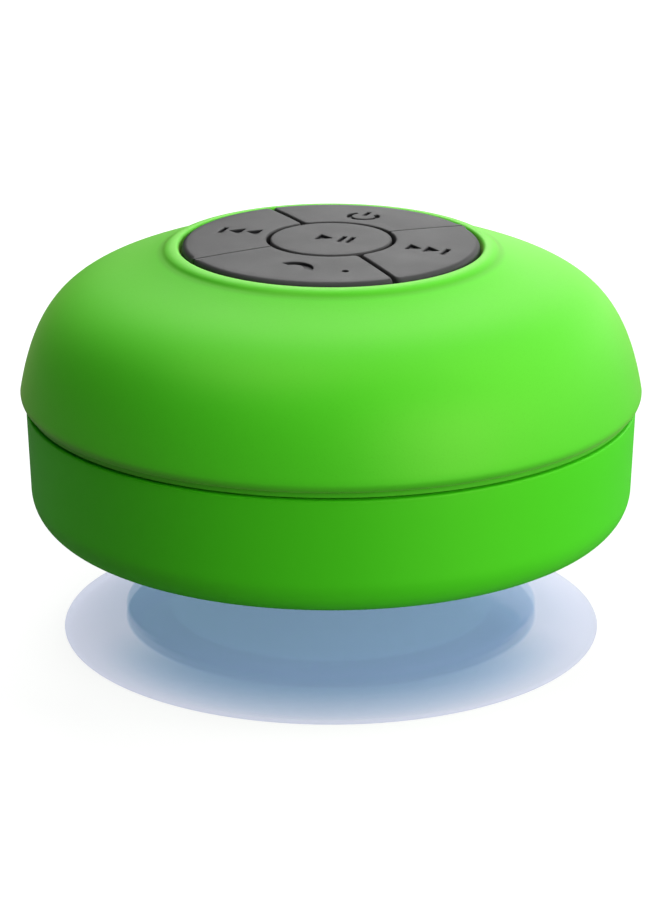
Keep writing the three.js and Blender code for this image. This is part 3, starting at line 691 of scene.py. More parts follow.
def clear_vinyl():
    """Bluish clear PVC, deeper over the thick middle; its colour also holds painted shade, painted
    reflections and a painted highlight on the rim.
    """
    look = Finish("clear_vinyl", VINYL_THIN, 0.14, ior=1.5, specular_ior_level=0.5)
    radius = look.radius()
    haze = look.noise(7, 3)
    # Deeper over the thick middle: partly the vinyl's thickness, partly painted shade and reflection of the
    # speaker above it.
    disc = look.fall(radius, STEP_RADIUS - 0.2, STEP_RADIUS + 0.5)
    # Painted reflection on the flange: deep where seen face on, pale where seen edge on, as if it mirrored
    # the white surroundings.
    edge_on = look.add("ShaderNodeLayerWeight", {"Blend": 0.5}).outputs["Facing"]
    flange = look.times(look.fall(edge_on, *FLANGE_DEEP), look.fall(radius, STEP_RADIUS - 2, CUP_HIGH.x + 2))
    flange = look.math("ADD", look.times(look.fall(radius, STEP_RADIUS, CUP_HIGH.x), 0.12), flange)
    # Painted highlight: a pale line along the rim.
    rim = look.band(radius, CUP_HIGH.x - 0.45, CUP_HIGH.x - 0.3)
    depth = look.math("SUBTRACT", look.math("MAXIMUM", disc, flange), rim)
    depth = look.math("MINIMUM", look.math("MAXIMUM", depth, 0.0), 1.0)
    look.tint(depth, 1, VINYL_DEEP)
    look.tint(haze, 0.12, shade(VINYL_THIN, 1.1))
    look.scatter(haze, 0.1)
    look.relief(look.noise(9, 2), 0.03)
    through = look.blended(depth, VINYL_THROUGH_THIN, VINYL_THROUGH_DEEP)
    # Painted reflection: a darker ring seen through the underside.
    below = look.times(look.add("ShaderNodeNewGeometry").outputs["Backfacing"], disc)
    ring = look.times(below, look.band(radius, REFLECTION_RING_RADIUS - 0.3, REFLECTION_RING_RADIUS + 0.3))
    through = look.blended(look.times(ring, look.fall(edge_on, 0.55, 0.75)), through, VINYL_THROUGH_REFLECTION_RING)
    clear = look.add("ShaderNodeBsdfTransparent", {"Color": through}).outputs[0]
    body = look.math("ADD", 0.15, look.times(depth, 0.2))
    both = look.add("ShaderNodeMixShader", {0: body, 1: clear, 2: look.surface.outputs[0]}).outputs[0]
    look.tree.links.new(both, look.tree.nodes["Material Output"].inputs["Surface"])
    return look.made()


def moulded(name, colour, roughness, grain=0.2):
    """Spark-eroded moulded plastic."""
    look = Finish(name, colour, roughness)
    texture = look.noise(grain, 3)
    look.tint(look.noise(8), 0.3, shade(colour, 1.25))
    look.scatter(texture, 0.15)
    look.relief(texture, 0.015)
    return look.made()


def circuit_board():
    """Solder mask over copper tracks, with tinned pads."""
    look = Finish("circuit_board", (0.012, 0.085, 0.035), 0.3, coat_weight=0.3, coat_roughness=0.15)
    tracks = look.fall(look.cells(2.2, "DISTANCE_TO_EDGE"), 0.04, 0.07)
    look.tint(tracks, 0.7, (0.03, 0.2, 0.07))
    pads = look.fall(look.cells(1.9), 0.13, 0.16)
    look.tint(pads, 0.9, (0.72, 0.7, 0.62))
    look.relief(tracks, 0.03)
    return look.made()


def drawn_steel():
    """Bright plated steel with faint drawing marks."""
    look = Finish("steel", (0.56, 0.57, 0.58), 0.3, metallic=1.0, anisotropic=0.3)
    stretched = look.add("ShaderNodeMapping", {"Vector": look.where, "Scale": (1, 1, 14)}).outputs[0]
    marks = look.noise(0.9, 3, where=stretched)
    look.scatter(marks, 0.2)
    look.tint(look.noise(4), 0.3, (0.44, 0.45, 0.47))
    look.relief(marks, 0.004)
    return look.made()


def ferrite():
    look = Finish("ferrite", (0.024, 0.024, 0.027), 0.6)
    grit = look.noise(0.35, 5, 0.7)
    look.tint(grit, 0.5, (0.06, 0.06, 0.065))
    look.relief(grit, 0.04)
    return look.made()


def cone_paper():
    """Pressed paper pulp with long fibres."""
    look = Finish("cone_paper", (0.02, 0.02, 0.023), 0.85)
    stretched = look.add("ShaderNodeMapping", {"Vector": look.where, "Scale": (1, 6, 1)}).outputs[0]
    fibres = look.noise(1.4, 5, 0.7, stretched)
    look.tint(look.band(fibres, 0.5, 0.7), 0.5, (0.06, 0.06, 0.064))
    look.relief(fibres, 0.03)
    return look.made()


def copper_winding():
    """Enamelled wire in turns of a tenth of a millimetre or so."""
    look = Finish("copper", (0.62, 0.25, 0.1), 0.3, metallic=1.0)
    z = look.split()[2]
    wire = 0.16
    turns = look.math("ABSOLUTE", look.math("SINE", look.times(z, math.pi / wire)))
    # Painted shade in the grooves between the turns.
    look.tint(look.math("SUBTRACT", 1.0, turns), 0.6, (0.2, 0.06, 0.02))
    look.relief(turns, wire / 2)
    return look.made()


def foam():
    """Open-celled foam or felt."""
    colour = (0.035, 0.036, 0.038)
    look = Finish("foam", colour, 0.95)
    cell = look.cells(0.5)
    # Painted shade: darker towards the middle of each cell, in the pores.
    look.tint(look.band(cell, 0.2, 0.7), 1, shade(colour, 2.2))
    look.relief(cell, 0.12)
    return look.made()


def cell_foil():
    """Crinkled laminate round the battery."""
    look = Finish("cell_foil", (0.5, 0.51, 0.53), 0.35, metallic=0.7)
    crease = look.noise(3, 6, 0.65)
    look.scatter(crease, 0.25)
    look.tint(look.noise(9), 0.4, (0.36, 0.37, 0.4))
    look.relief(crease, 0.12)
    return look.made()


def wire_skin():
    look = Finish("wire_red", (0.42, 0.015, 0.01), 0.42)
    look.scatter(look.noise(0.6), 0.15)
    look.tint(look.noise(2.5), 0.4, (0.3, 0.01, 0.008))
    look.relief(look.noise(0.4), 0.02)
    return look.made()


FINISHES = {
    "green_silicone": green_silicone(),
    "green_plastic": green_plastic(),
    "grey_rubber": grey_rubber(),
    "icon_painted_shade": icon_painted_shade(),
    "clear_vinyl": clear_vinyl(),
    "white_plastic": moulded("white_plastic", (0.7, 0.71, 0.72), 0.42),
    "black_rubber": moulded("black_rubber", (0.014, 0.014, 0.015), 0.7, 0.35),
    "black_plastic": moulded("black_plastic", (0.012, 0.012, 0.013), 0.5),
    "circuit_board": circuit_board(),
    "steel": drawn_steel(),
    "ferrite": ferrite(),
    "cone_paper": cone_paper(),
    "copper": copper_winding(),
    "foam": foam(),
    "cell_foil": cell_foil(),
    "wire_red": wire_skin(),
}


# ---------- casing ----------

def dome_curve(depth, steps):
    """The dome's curve moved in by a depth, from the foot of the ring down to the lip."""
    made = bezier([RING_FOOT, *DOME_PULLS, LIP], steps)
    return [(point.x + depth * along.y, point.y - depth * along.x) for point, along in made]


def dome_profile():
    """Section of the dome cover, from its ring's bore over the outside to the lip and back inside."""
    corner = 0.45
    crest = RING_HIGH
    bore_corner = arc((RING_BORE + corner, crest - corner), (corner, corner), 180, 90, 6)
    crown = curve([(RING_BORE + corner, crest), (22.1, crest), (22.72, crest - 0.22), RING_FOOT], 10)
    outside = dome_curve(0, 56)
    soft_foot = softened([crown[-3], RING_FOOT, outside[2]], {1: 0.32}, 5)
    lip_size = (LIP[0] - LIP_FOOT[0], LIP[1] - LIP_FOOT[1])
    lip = arc((LIP_FOOT[0], LIP[1]), lip_size, 0, -90, 8)
    inside = dome_curve(COVER_THICK, 24)[::-1]
    skirt = [(SKIRT_FOOT[0] + 0.05, LIP_FOOT[1]), (SKIRT_FOOT[0], LIP_FOOT[1] - 0.08), SKIRT_FOOT]
    inside_foot = (inside[0][0] - 0.08, SKIRT_FOOT[1])
    bore_foot = (RING_BORE, inside[-1][1])
    over = bore_corner + crown[1:-2] + soft_foot[1:-1]
    return over + outside[2:-1] + lip + skirt + [inside_foot] + inside + [bore_foot]


def dome_cover():
    piece = revolved("dome_cover_skin", dome_profile()[::-1])
    finish_piece(piece, "housing", "green_silicone", "dome_cover")


def wall_radius(height):
    foot = BOTTOM + BOTTOM_FILLET
    share = (height - foot) / (WALL_TOP[1] - foot)
    return WALL_FOOT_RADIUS + share * (WALL_TOP[0] - WALL_FOOT_RADIUS)


def base_profile():
    """Section of the lower housing, from the hub bore along the bottom and up the wall, and back inside."""
    centre = (WALL_FOOT_RADIUS - BOTTOM_FILLET, BOTTOM + BOTTOM_FILLET)
    inner = BOTTOM_FILLET - WALL_THICK
    tongue_inner, tongue_outer, tongue_top = TONGUE
    seat_inner, seat_outer, seat_top = SEAT
    outer, rim = WALL_TOP
    low, high = WALL_ROWS
    wall_top = softened([(outer - 0.3, rim - 9), WALL_TOP, (outer - 3, rim)], {1: 0.35}, 4)
    return [
        (HUB_BORE, BOTTOM),
        *arc(centre, (BOTTOM_FILLET, BOTTOM_FILLET), -90, 0, 20),
        (wall_radius(low), low),
        (wall_radius(high), high),
        *wall_top[1:-1],
        (tongue_outer, rim),
        (tongue_outer, tongue_top),
        (tongue_inner, tongue_top),
        (tongue_inner, rim - 0.7),
        (wall_radius(high) - WALL_THICK, high),
        *arc(centre, (inner, inner), 0, -90, 10),
        (seat_outer, FLOOR),
        (seat_outer, seat_top),
        (seat_inner, seat_top),
        (seat_inner, FLOOR),
        (HUB_BORE, FLOOR),
    ]


def bar(name, outline, low, high, place):
    """A plain closed prism of an outline between two heights, for cutting or joining."""
    sheet = Sheet(place)
    bottom = sheet.ring(outline, [low] * len(outline))
    top = sheet.ring(outline, [high] * len(outline))
    sheet.band(bottom, top)
    sheet.cap([(outline, top)])
    sheet.cap([(outline, bottom)], up=False)
    return add_mesh(name, sheet.points, sheet.faces)


def upright(u, v, h):
    return (u, v, h)


def on_back(u, v, h):
    """A point seen from the back: u to the left, v up and h out along +Y."""
    return (-u, h, v)


def sound_slots():
    """A ring of round-ended radial slots in front of the driver."""
    count, inner, outer, width = 16, 13, 21, 1.6
    slot = rounded(box(inner, outer, -width / 2, width / 2), width / 2)
    bearings = [360 * (i + 0.5) / count for i in range(count)]
    return [bar("slot", turned(slot, bearing), BOTTOM - 1, FLOOR + 1, upright) for bearing in bearings]


def box_outline(x0, x1, y0, y1, corner):
    return rounded(box(x0, x1, y0, y1), corner, steps=7)


def grown(low, high, gap, corner):
    """Outline of a piece seen from the back, with a gap round it."""
    return box_outline(low.x - gap, high.x + gap, low.z - gap, high.z + gap, corner)


def port_cuts():
    """The port itself, and the shallow recess that the flap and its tether lie in."""
    half_width, foot, top = PORT
    depth = (36, 46)
    port = bar("port", box_outline(-half_width, half_width, foot, top, 1.2), *depth, on_back)
    slack, reach = 0.1, 2
    low, high = 20, 33
    tether = box_outline(-TETHER_HIGH.x - reach, slack - TETHER_LOW.x,
                         TETHER_LOW.z - slack, TETHER_HIGH.z + slack, 0.5)
    cuts = [port]
    for outline in (grown(FLAP_LOW, FLAP_HIGH, FLAP_GAP, FLAP_CORNER), tether):
        ring = revolved("ring", box(RECESS_RADIUS, WALL_TOP[0] + 1, low, high))
        cuts.append(combined(bar("recess", outline, *depth, on_back), "INTERSECT", [ring]))
    return cuts


def base_shell():
    piece = add_mesh("base_shell_body", *turn(base_profile()))
    combined(piece, "UNION", [column(angle) for angle in COLUMN_ANGLES] + rails())
    counterbores = []
    for angle in COLUMN_ANGLES:
        x, y = polar(COLUMN_RING, angle)
        counterbores.append(bar("bore", circle(x, y, PLUG_BORE, 48), BOTTOM - 1, HEAD_TOP, upright))
        counterbores.append(bar("hole", circle(x, y, SCREW_HOLE, 24), BOTTOM, COLUMN_TOP + 1, upright))
    combined(piece, "DIFFERENCE", counterbores + sound_slots() + port_cuts())
    smooth(piece, 30)
    finish_piece(piece, "housing", "green_plastic", "base_shell")


def column(angle):
    """A screw column that stands on the floor."""
    x, y = polar(COLUMN_RING, angle)
    return bar("column", circle(x, y, COLUMN_RADIUS, 48), BOTTOM + 1, COLUMN_TOP, upright)


def rails():
    """Two ribs that the charging board rests on."""
    top = corners("charge_board")[0].z - 0.1
    half, front, back = 0.8, 29, 37
    feet = [box(x - half, x + half, front, back) for x in (-5, 5)]
    return [bar("rail", foot, BOTTOM + 1, top, upright) for foot in feet]


def screw_plugs():
    """Soft plugs over the housing screws: a slightly domed face with a rounded edge."""
    radius = (PLUG_HIGH.x - PLUG_LOW.x) / 2
    low, high = PLUG_LOW.z, PLUG_HIGH.z
    edge = 0.35
    face = [(0, low), (radius * 0.5, low + 0.02), *arc((radius - edge, low + edge), (edge, edge), -90, 0, 5)]
    profile = face + [(radius, high - 0.2), (radius - 0.2, high), (0, high)]
    for i, angle in enumerate(COLUMN_ANGLES, 1):
        x, y = polar(COLUMN_RING, angle)
        points, faces = turn(profile, 48)
        moved = [(px + x, py + y, pz) for px, py, pz in points]
        piece = add_mesh(f"screw_plug_{i}_soft", moved, faces, 40)
        finish_piece(piece, "housing", "green_silicone", f"screw_plug_{i}")


# ---------- keypad ----------

def key_height(u, v):
    return KEY_TOP - (u * u + v * v) / (2 * KEY_CROWN)


def sector_outline(fine_side, spacing=0.45):
    """A quarter of the ring round the play key, about angle 0. fine_side, 1 or -1, has the fine groove."""
    outer, inner = KEYPAD_RADIUS, PLAY_RADIUS + GROOVE
    half = {fine_side: FINE_GROOVE / 2, -fine_side: GROOVE / 2}
    corner = {fine_side: 0.4, -fine_side: 0.9}

    def side(radius, sign):
        along = math.sqrt(radius ** 2 - half[sign] ** 2)
        return Vector(((along + half[sign]) / math.sqrt(2), sign * (along - half[sign]) / math.sqrt(2)))

    def bow(radius, start, end):
        pieces = max(2, int(abs(end - start) * radius / spacing))
        return arc((0, 0), (radius, radius), math.degrees(start), math.degrees(end), pieces)

    def reach(radius, sign):
        edge = side(radius, sign)
        return math.atan2(edge.y, edge.x) - sign * corner[sign] / radius

    def flank(start, end):
        return [tuple(start), *between(start, end, spacing), tuple(end)]

    tips = [side(outer, 1), side(inner, 1), side(inner, -1), side(outer, -1)]
    runs = [
        bow(outer, reach(outer, -1), reach(outer, 1)),
        flank(side(outer - corner[1], 1), side(inner + corner[1], 1)),
        bow(inner, reach(inner, 1), reach(inner, -1)),
        flank(side(inner + corner[-1], -1), side(outer - corner[-1], -1)),
    ]
    made = []
    for run, tip, following in zip(runs, tips, runs[1:] + runs[:1]):
        made += run + bend(Vector(run[-1]), tip, Vector(following[0]), (0.2, 0.4, 0.6, 0.8))
    return made


def triangle(x, width, height):
    """A play triangle that points along +X from x."""
    return rounded([(x, -height / 2), (x + width, 0), (x, height / 2)], 0.32, 0.4)


def upright_bar(x, width, height):
    return rounded(box(x, x + width, -height / 2, height / 2), 0.26, 0.4)


def play_pause_icon():
    return [triangle(-2.35, 2.55, 3.3), upright_bar(0.85, 0.85, 3.1), upright_bar(2.1, 0.85, 3.1)]


def next_icon():
    return [triangle(-2.85, 2.4, 3.3), triangle(-0.3, 2.4, 3.3), upright_bar(2.25, 0.9, 3.1)]


def previous_icon():
    return [[(-x, -y) for x, y in mark] for mark in next_icon()]


def power_icon():
    """A ring open at the top, with a bar in the opening."""
    outer, inner, gap = 2.45, 1.5, 38
    rim = arc((0, 0), (outer, outer), 90 + gap, 450 - gap, 32)
    hole = arc((0, 0), (inner, inner), 450 - gap, 90 + gap, 26)
    stem = [(x, y + 1.5) for x, y in upright_bar(-0.42, 0.84, 2.6)]
    return [rim + hole, stem]


def handset_icon():
    """A telephone handset: a bowed grip that ends in two cups."""
    grip = arc((0, -2.0), (2.9, 3.1), 18, 162, 18)
    under = arc((0, -2.0), (1.5, 1.6), 150, 30, 14)
    return [turned(grip + under, -20)]


KEYS = {  # bearing of the key, its icon, the icon's place, and the side with the fine groove
    "play": (None, play_pause_icon, (0.3, 0), 0),
    "next": (0, next_icon, (13.8, 0), 1),
    "power": (90, power_icon, (0, 13.2), -1),
    "previous": (180, previous_icon, (-13.2, 0), 1),
    "call": (270, handset_icon, (0.6, -13.2), -1),
}


def key_cap(name):
    angle, icon, middle, fine_side = KEYS[name]
    if angle is None:
        outline = circle(0, 0, PLAY_RADIUS, 112)
        nub_at = (0, 0)
    else:
        outline = turned(sector_outline(fine_side), angle)
        nub_at = polar(KEY_PITCH, angle)
    marks = [[(x + middle[0], y + middle[1]) for x, y in mark] for mark in icon()]
    holes = [circle(*PINHOLE, 20)] if name == "call" else []
    edges = [edge_size(point) for point in outline]
    nub = (nub_at, NUB_RADIUS, NUB_FOOT)
    piece = plate(f"{name}_key_cap", outline, key_height, KEY_FOOT, edges, upright, marks, holes, nub)
    finish_piece(piece, f"{name}_key", "grey_rubber", f"{name}_key")
    # Slot 1 is painted shade in the sunk icons and the pinhole.
    piece.data.materials.append(FINISHES["icon_painted_shade"])


def edge_size(point):
    """The keypad's rim is rounded more than the edges along its grooves, and a fine groove's edges least."""
    reach = Vector(point).length
    near_rim = max(0, min(1, (reach - (KEYPAD_RADIUS - 1.2)) / 1.2))
    size = GROOVE_ROUND + (KEY_ROUND - GROOVE_ROUND) * near_rim
    from_fine = abs(point[0] - point[1]) / math.sqrt(2) - FINE_GROOVE / 2
    return min(size, FINE_ROUND + 0.6 * from_fine) if reach > PLAY_RADIUS + GROOVE / 2 else size


# ---------- charging port ----------

def on_wall(u, v, h):
    """A point seen from the back: u to the left, v up and h above the wall's surface."""
    return (-u, math.sqrt((wall_radius(v) + h) ** 2 - u * u), v)


def port_flap():
    """Cover of the port, flush with the wall, with a moulded nail notch and a plug on its inside."""
    outline = grown(FLAP_LOW, FLAP_HIGH, 0, FLAP_CORNER)
    middle = (FLAP_LOW.z + FLAP_HIGH.z) / 2
    notch_x, notch_width, notch_height, notch_depth = -4.6, 0.9, 2.2, 0.35
    edges = [0.3] * len(outline)

    def top(u, v):
        away = Vector(((u - notch_x) / notch_width, (v - middle) / notch_height)).length
        return -0.02 - notch_depth * max(0, 1 - away * away) ** 2

    piece = plate("port_flap_cover", outline, top, FLAP_BACK, edges, on_wall, spacing=0.4)
    half_width, plug_foot, plug_top = FLAP_PLUG
    plug = box_outline(-half_width, half_width, plug_foot, plug_top, 1)
    combined(piece, "UNION", [bar("plug", plug, FLAP_LOW.y, wall_radius(middle) - 0.75, on_back)])
    smooth(piece, 32)
    finish_piece(piece, "port_flap", "green_silicone", "port_flap")


def flap_tether():
    """Living hinge of the flap: a thin strap with a groove across it at the hinge."""
    low, high = TETHER_LOW.z, TETHER_HIGH.z
    root, tip = -TETHER_LOW.x, FLAP_HIGH.x - 0.35
    hinge = HINGE_X
    steps = 28
    columns_u = [tip + (root - tip) * i / steps for i in range(steps + 1)]

    def surface(u):
        pinch = 0.28 * math.exp(-((u + hinge) / 0.28) ** 2)
        ends = 0.12 * max(0, 1 - min(u - tip, root - u) / 0.3)
        return -0.12 - pinch - ends

    sheet = Sheet(on_wall)
    rings = []
    for u in columns_u:
        section = [(low, FLAP_BACK), (high, FLAP_BACK), (high, surface(u) - 0.1), (high - 0.12, surface(u)),
                   (low + 0.12, surface(u)), (low, surface(u) - 0.1)]
        rings.append([len(sheet.points) + i for i in range(len(section))])
        sheet.points += [on_wall(u, v, h) for v, h in section]
    for a, b in zip(rings, rings[1:]):
        sheet.band(a, b)
    sheet.face(rings[0][::-1])
    sheet.face(rings[-1])
    piece = add_mesh("flap_tether_strap", sheet.points, sheet.faces, 40)
    finish_piece(piece, None, "green_silicone", "flap_tether")
    start, end = (point_m(hinge + away, TETHER_HIGH.y, (low + high) / 2) for away in (-0.5, 0.5))
    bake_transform(piece)
    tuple(start)
    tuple(end)


def point_m(x, y, z):
    return (x * MM, y * MM, z * MM)


# ---------- suction cup ----------

def cup_profile():
    """Section of the cup, from the middle of its underside to the rim, back over the top and up the neck."""
    rim = CUP_HIGH.x
    under = curve([(0, 5.6), (10, 5.4), (19, 3.9), (STEP_RADIUS, 1.7)], 18)
    flare = curve([(STEP_RADIUS, 1.7), (31.5, 1.1), (34, 0.15), (RIM_LAND, 0)], 10)
    edge = [(rim - 0.25, 0), (rim - 0.05, 0.12), (rim, 0.28), (rim - 0.08, 0.44), (rim - 0.3, 0.55)]
    lip = curve([edge[-1], (35.2, 1.1), (32.5, 2.3), (STEP_RADIUS + 0.6, 3.15)], 16)
    step = [(STEP_RADIUS + 0.3, 3.26), (STEP_RADIUS, 3.46)]
    body = curve([(STEP_RADIUS - 0.4, 3.62), (22, 5.4), (11.2, 6.6), (9.9, 10.2)], 26)
    neck = [(NECK_RADIUS, 11.2), (NECK_RADIUS, NECK_TOP - 0.3), (NECK_RADIUS - 0.3, NECK_TOP)]
    stalk, knob, ledge = 3.5, 4.8, 14.15
    head = [(stalk, NECK_TOP), (stalk, ledge), (knob, ledge), (4.7, 14.5), (4.2, KNOB_TOP), (0, KNOB_TOP)]
    return under[:-1] + flare + edge + lip[1:] + step + body[1:] + neck + head


def suction_cup():
    piece = revolved("suction_cup_vinyl", cup_profile(), 45)
    finish_piece(piece, None, "clear_vinyl", "suction_cup")
    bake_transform(piece)


def hub_profile():
    """Section of the turning hub: the grip for the cup's knob below, the spigot for the screw above."""
    radius, foot, top, spigot_top = HUB_HIGH.x, HUB_LOW.z, HUB_TOP, HUB_HIGH.z
    mouth, socket, ledge, roof = 3.9, 5.1, 13.9, 15.2
    grip = [(mouth, foot), (mouth, ledge), (socket, ledge), (socket, roof), (0, roof)]
    grip = softened(grip, {1: 0.2, 3: 0.3})
    side = [(mouth, foot), (radius - 0.4, foot), (radius, foot + 0.4), (radius, top - 0.6),
            (radius - 0.15, top - 0.2), (radius - 0.6, top)]
    inner, outer, floor_height = 6.8, 8.2, 15.05
    seal_groove = [(outer, top), (outer, floor_height), (inner, floor_height), (inner, top)]
    spigot, edge, screw_bore, screw_foot = 5, 0.25, 1.4, 15.8
    stem = [(spigot, top), (spigot, spigot_top - edge), (spigot - edge, spigot_top),
            (screw_bore, spigot_top), (screw_bore, screw_foot), (0, screw_foot)]
    return grip[::-1][:-1] + side + seal_groove + stem


def cup_hub():
    """Turning hub with a ring of grip ribs round its edge."""
    ribs = 36
    points, faces = turn(hub_profile(), ribs * 6)
    made = []
    for x, y, z in points:
        radius = math.hypot(x, y)
        wave = 0.5 - 0.5 * math.cos(ribs * math.atan2(y, x))
        share = max(0, min(1, (radius - HUB_HIGH.x + 0.5) / 0.5))
        scale = 1 - 0.28 * share * wave / radius if radius else 1
        made.append((x * scale, y * scale, z))
    piece = add_mesh("cup_hub_body", made, faces, 40)
    finish_piece(piece, "cup_hub", "green_plastic", "cup_hub")


# ---------- driver ----------

def sound_mesh():
    """Perforated ring behind the sound slots: rows of round holes in a thin sheet."""
    low, high = corners("sound_mesh")
    levels = (low.z, high.z)
    rows, around, sides = 13, 132, 8
    pitch = (high.x - SOUND_MESH_BORE) / rows
    points = [(*polar(SOUND_MESH_BORE + row * pitch, 360 * k / around), z)
              for row in range(rows + 1) for k in range(around) for z in levels]
    faces = []

    def corner(row, k, level):
        return (row * around + k % around) * 2 + level

    def hole(row, k, z):
        bearing = 360 * (k + 0.5) / around
        middle = polar(SOUND_MESH_BORE + (row + 0.5) * pitch, bearing)
        first = len(points)
        points.extend((x, y, z) for x, y in turned(circle(0, 0, pitch * 0.3, sides), bearing + 225, middle))
        return list(range(first, first + sides))

    for row in range(rows):
        for k in range(around):
            rings = [hole(row, k, z) for z in levels]
            for level, ring in enumerate(rings):
                square = [corner(*spot, level) for spot in box(row, row + 1, k, k + 1)]
                for i in range(4):
                    rim = [ring[(2 * i + 2) % sides], ring[2 * i + 1], ring[2 * i]]
                    face = [square[i], square[(i + 1) % 4], *rim]
                    faces.append(face if level else face[::-1])
            below, above = rings
            for i in range(sides):
                n = (i + 1) % sides
                faces.append([above[i], above[n], below[n], below[i]])
    for k in range(around):
        for row, a, b in ((0, k, k + 1), (rows, k + 1, k)):
            faces.append([corner(row, a, 0), corner(row, a, 1), corner(row, b, 1), corner(row, b, 0)])
    piece = add_mesh("sound_mesh_sheet", points, faces, 30)
    finish_piece(piece, "housing", "foam", "sound_mesh")


# ---------- loudspeaker's suspension ----------

def flexing(piece, fixed_radius, moving_radius):
    """Unrolls a turned piece's points onto the X axis, bakes its transform there, and puts the points back.
    Its points are unrolled onto the X axis while the blend is measured, and then put back.
    """
    points = piece.data.vertices
    places = [point.co.copy() for point in points]
    for point in points:
        point.co = (math.hypot(point.co.x, point.co.y), 0, point.co.z)
    start, end = point_m(fixed_radius, 0, 0), point_m(moving_radius, 0, 0)
    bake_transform(piece)
    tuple(start)
    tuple(end)
    for point, place in zip(points, places):
        point.co = place


def driver_surround():
    """Half-roll edge of the cone, running from the basket outside to the cone inside."""
    middle, depth = ROLL
    top = SURROUND_HIGH.z
    foot = top - SUSPENSION_THICK
    under = arc((middle, foot), (depth + 0.1, depth), 180, 360, 18)
    over = arc((middle, top), (depth - 0.2, depth), 0, -180, 18)
    outside = [(SURROUND_HIGH.x, foot), (SURROUND_HIGH.x, top)]
    inside = [(SURROUND_BORE, top), (SURROUND_BORE, foot)]
    piece = revolved("driver_surround_roll", under + outside + over + inside, 50, 96)
    finish_piece(piece, None, "black_rubber", "driver_surround")
    flexing(piece, middle + depth, middle - depth + 0.05)


def driver_spider():
    """Corrugated disc that centres the coil, held by the basket outside and joined to the cone inside."""
    middle = (SPIDER_LOW.z + SPIDER_HIGH.z - SUSPENSION_THICK) / 2
    swing = middle - SPIDER_LOW.z
    width = SPIDER_HIGH.x - SPIDER_BORE
    steps = 12 * SPIDER_WAVES
    under = [(SPIDER_BORE, middle)]
    for i in range(steps + 1):
        wave = swing * math.sin(2 * math.pi * SPIDER_WAVES * i / steps)
        under.append((SPIDER_BORE + width * (0.1 + 0.8 * i / steps), middle + wave))
    under.append((SPIDER_HIGH.x, middle))
    over = [(radius, height + SUSPENSION_THICK) for radius, height in reversed(under)]
    piece = revolved("driver_spider_cloth", under + over, 50, 96)
    finish_piece(piece, None, "foam", "driver_spider")
    flexing(piece, SPIDER_HIGH.x - 0.5, SPIDER_BORE + 0.5)


# ---------- pieces that keep their CAD shape ----------

def dress():
    """Gives each CAD node that stays in view its own finish."""
    kept = {
        "black_plastic": ["upper_shell", "audio_chip", *[f"{name}_plunger" for name in KEYS]],
        "black_rubber": ["shell_seal", "hub_seal"],
        "grey_rubber": ["keypad_web"],
        "circuit_board": ["main_board", "charge_board"],
        "steel": ["microphone", "charge_socket", "driver_frame", "driver_top_plate", "driver_yoke",
                  "hub_washer", "hub_screw", *[f"{name}_switch" for name in KEYS],
                  *[f"board_screw_{i}" for i in (1, 2, 3)], *[f"housing_screw_{i}" for i in (1, 2, 3, 4)]],
        "white_plastic": ["status_led"],
        "ferrite": ["driver_magnet"],
        "cone_paper": ["driver_cone", "dust_cap"],
        "copper": ["voice_coil"],
        "foam": ["driver_gasket", "battery_pad"],
        "cell_foil": ["battery"],
        "wire_red": ["battery_lead", "driver_lead", "charge_lead"],
    }
    for slot, nodes in kept.items():
        for node in nodes:
            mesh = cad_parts[node].data
            mesh.materials.clear()
            mesh.materials.append(FINISHES[slot])


# ---------- stage ----------

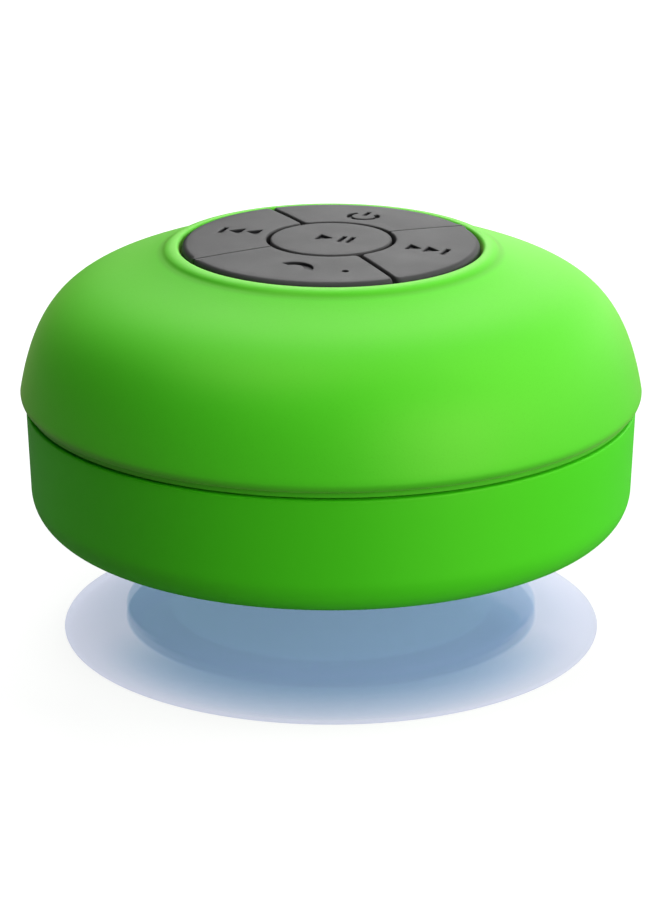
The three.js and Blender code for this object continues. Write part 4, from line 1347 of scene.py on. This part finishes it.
def floor_white():
    """White to the camera with a faint shadow, and darker to the speaker, to send little light back."""
    look = Finish("studio_floor", FLOOR_BOUNCE, 0.9, specular_ior_level=0.0)
    far = look.band(look.radius(), 80, 300)
    glow = look.math("ADD", FLOOR_GLOW, look.times(far, 1 - FLOOR_GLOW))
    seen = look.add("ShaderNodeLightPath").outputs["Is Camera Ray"]
    look.surface.inputs["Emission Color"].default_value = (1, 1, 1, 1)
    look.tree.links.new(look.times(seen, glow), look.surface.inputs["Emission Strength"])
    return look.made()


def floor():
    half = 1500
    points = [(x, y, 0) for x, y in box(-half, half, -half, half)]
    piece = add_mesh("studio_floor", points, [[0, 1, 2, 3]])
    piece.data.materials.append(floor_white())
    piece.location.z = -0.02 * MM


def aim(obj, place, target):
    """Puts a light or a camera at a place, looking at a target."""
    obj.location = point_m(*place)
    obj.rotation_euler = (Vector(point_m(*target)) - obj.location).to_track_quat("-Z", "Y").to_euler()
    bpy.context.scene.collection.objects.link(obj)


def softbox(name, bearing, elevation, power):
    """A round soft light at a bearing and an elevation from the speaker."""
    light = bpy.data.lights.new(name, "AREA")
    light.shape = "DISK"
    light.size = LIGHT_SIZE * MM
    light.energy = power
    rise = math.radians(elevation)
    x, y = polar(LIGHT_DISTANCE * math.cos(rise), bearing)
    place = (LIGHT_AIM[0] + x, LIGHT_AIM[1] + y, LIGHT_AIM[2] + LIGHT_DISTANCE * math.sin(rise))
    aim(bpy.data.objects.new(name, light), place, LIGHT_AIM)


def studio():
    world = bpy.data.worlds.new("studio")
    bpy.context.scene.world = world
    world.use_nodes = True
    background = world.node_tree.nodes["Background"]
    background.inputs["Color"].default_value = (1, 1, 1, 1)
    seen = world.node_tree.nodes.new("ShaderNodeLightPath").outputs["Is Camera Ray"]
    world.node_tree.links.new(seen, background.inputs["Strength"])
    for light in SOFTBOXES:
        softbox(*light)


def camera():
    data = bpy.data.cameras.new("camera")
    data.lens = LENS
    data.sensor_width = 36
    data.shift_x = LENS_SHIFT
    data.clip_start = 0.01
    obj = bpy.data.objects.new("camera", data)
    aim(obj, CAMERA, LOOK_AT)
    bpy.context.scene.camera = obj


def build():
    for make in (dome_cover, base_shell, screw_plugs, port_flap, flap_tether, suction_cup, cup_hub,
                 sound_mesh, driver_surround, driver_spider, dress):
        make()
    for name in KEYS:
        key_cap(name)


build()
floor()
studio()
camera()
bpy.context.scene.view_settings.view_transform = "Standard"
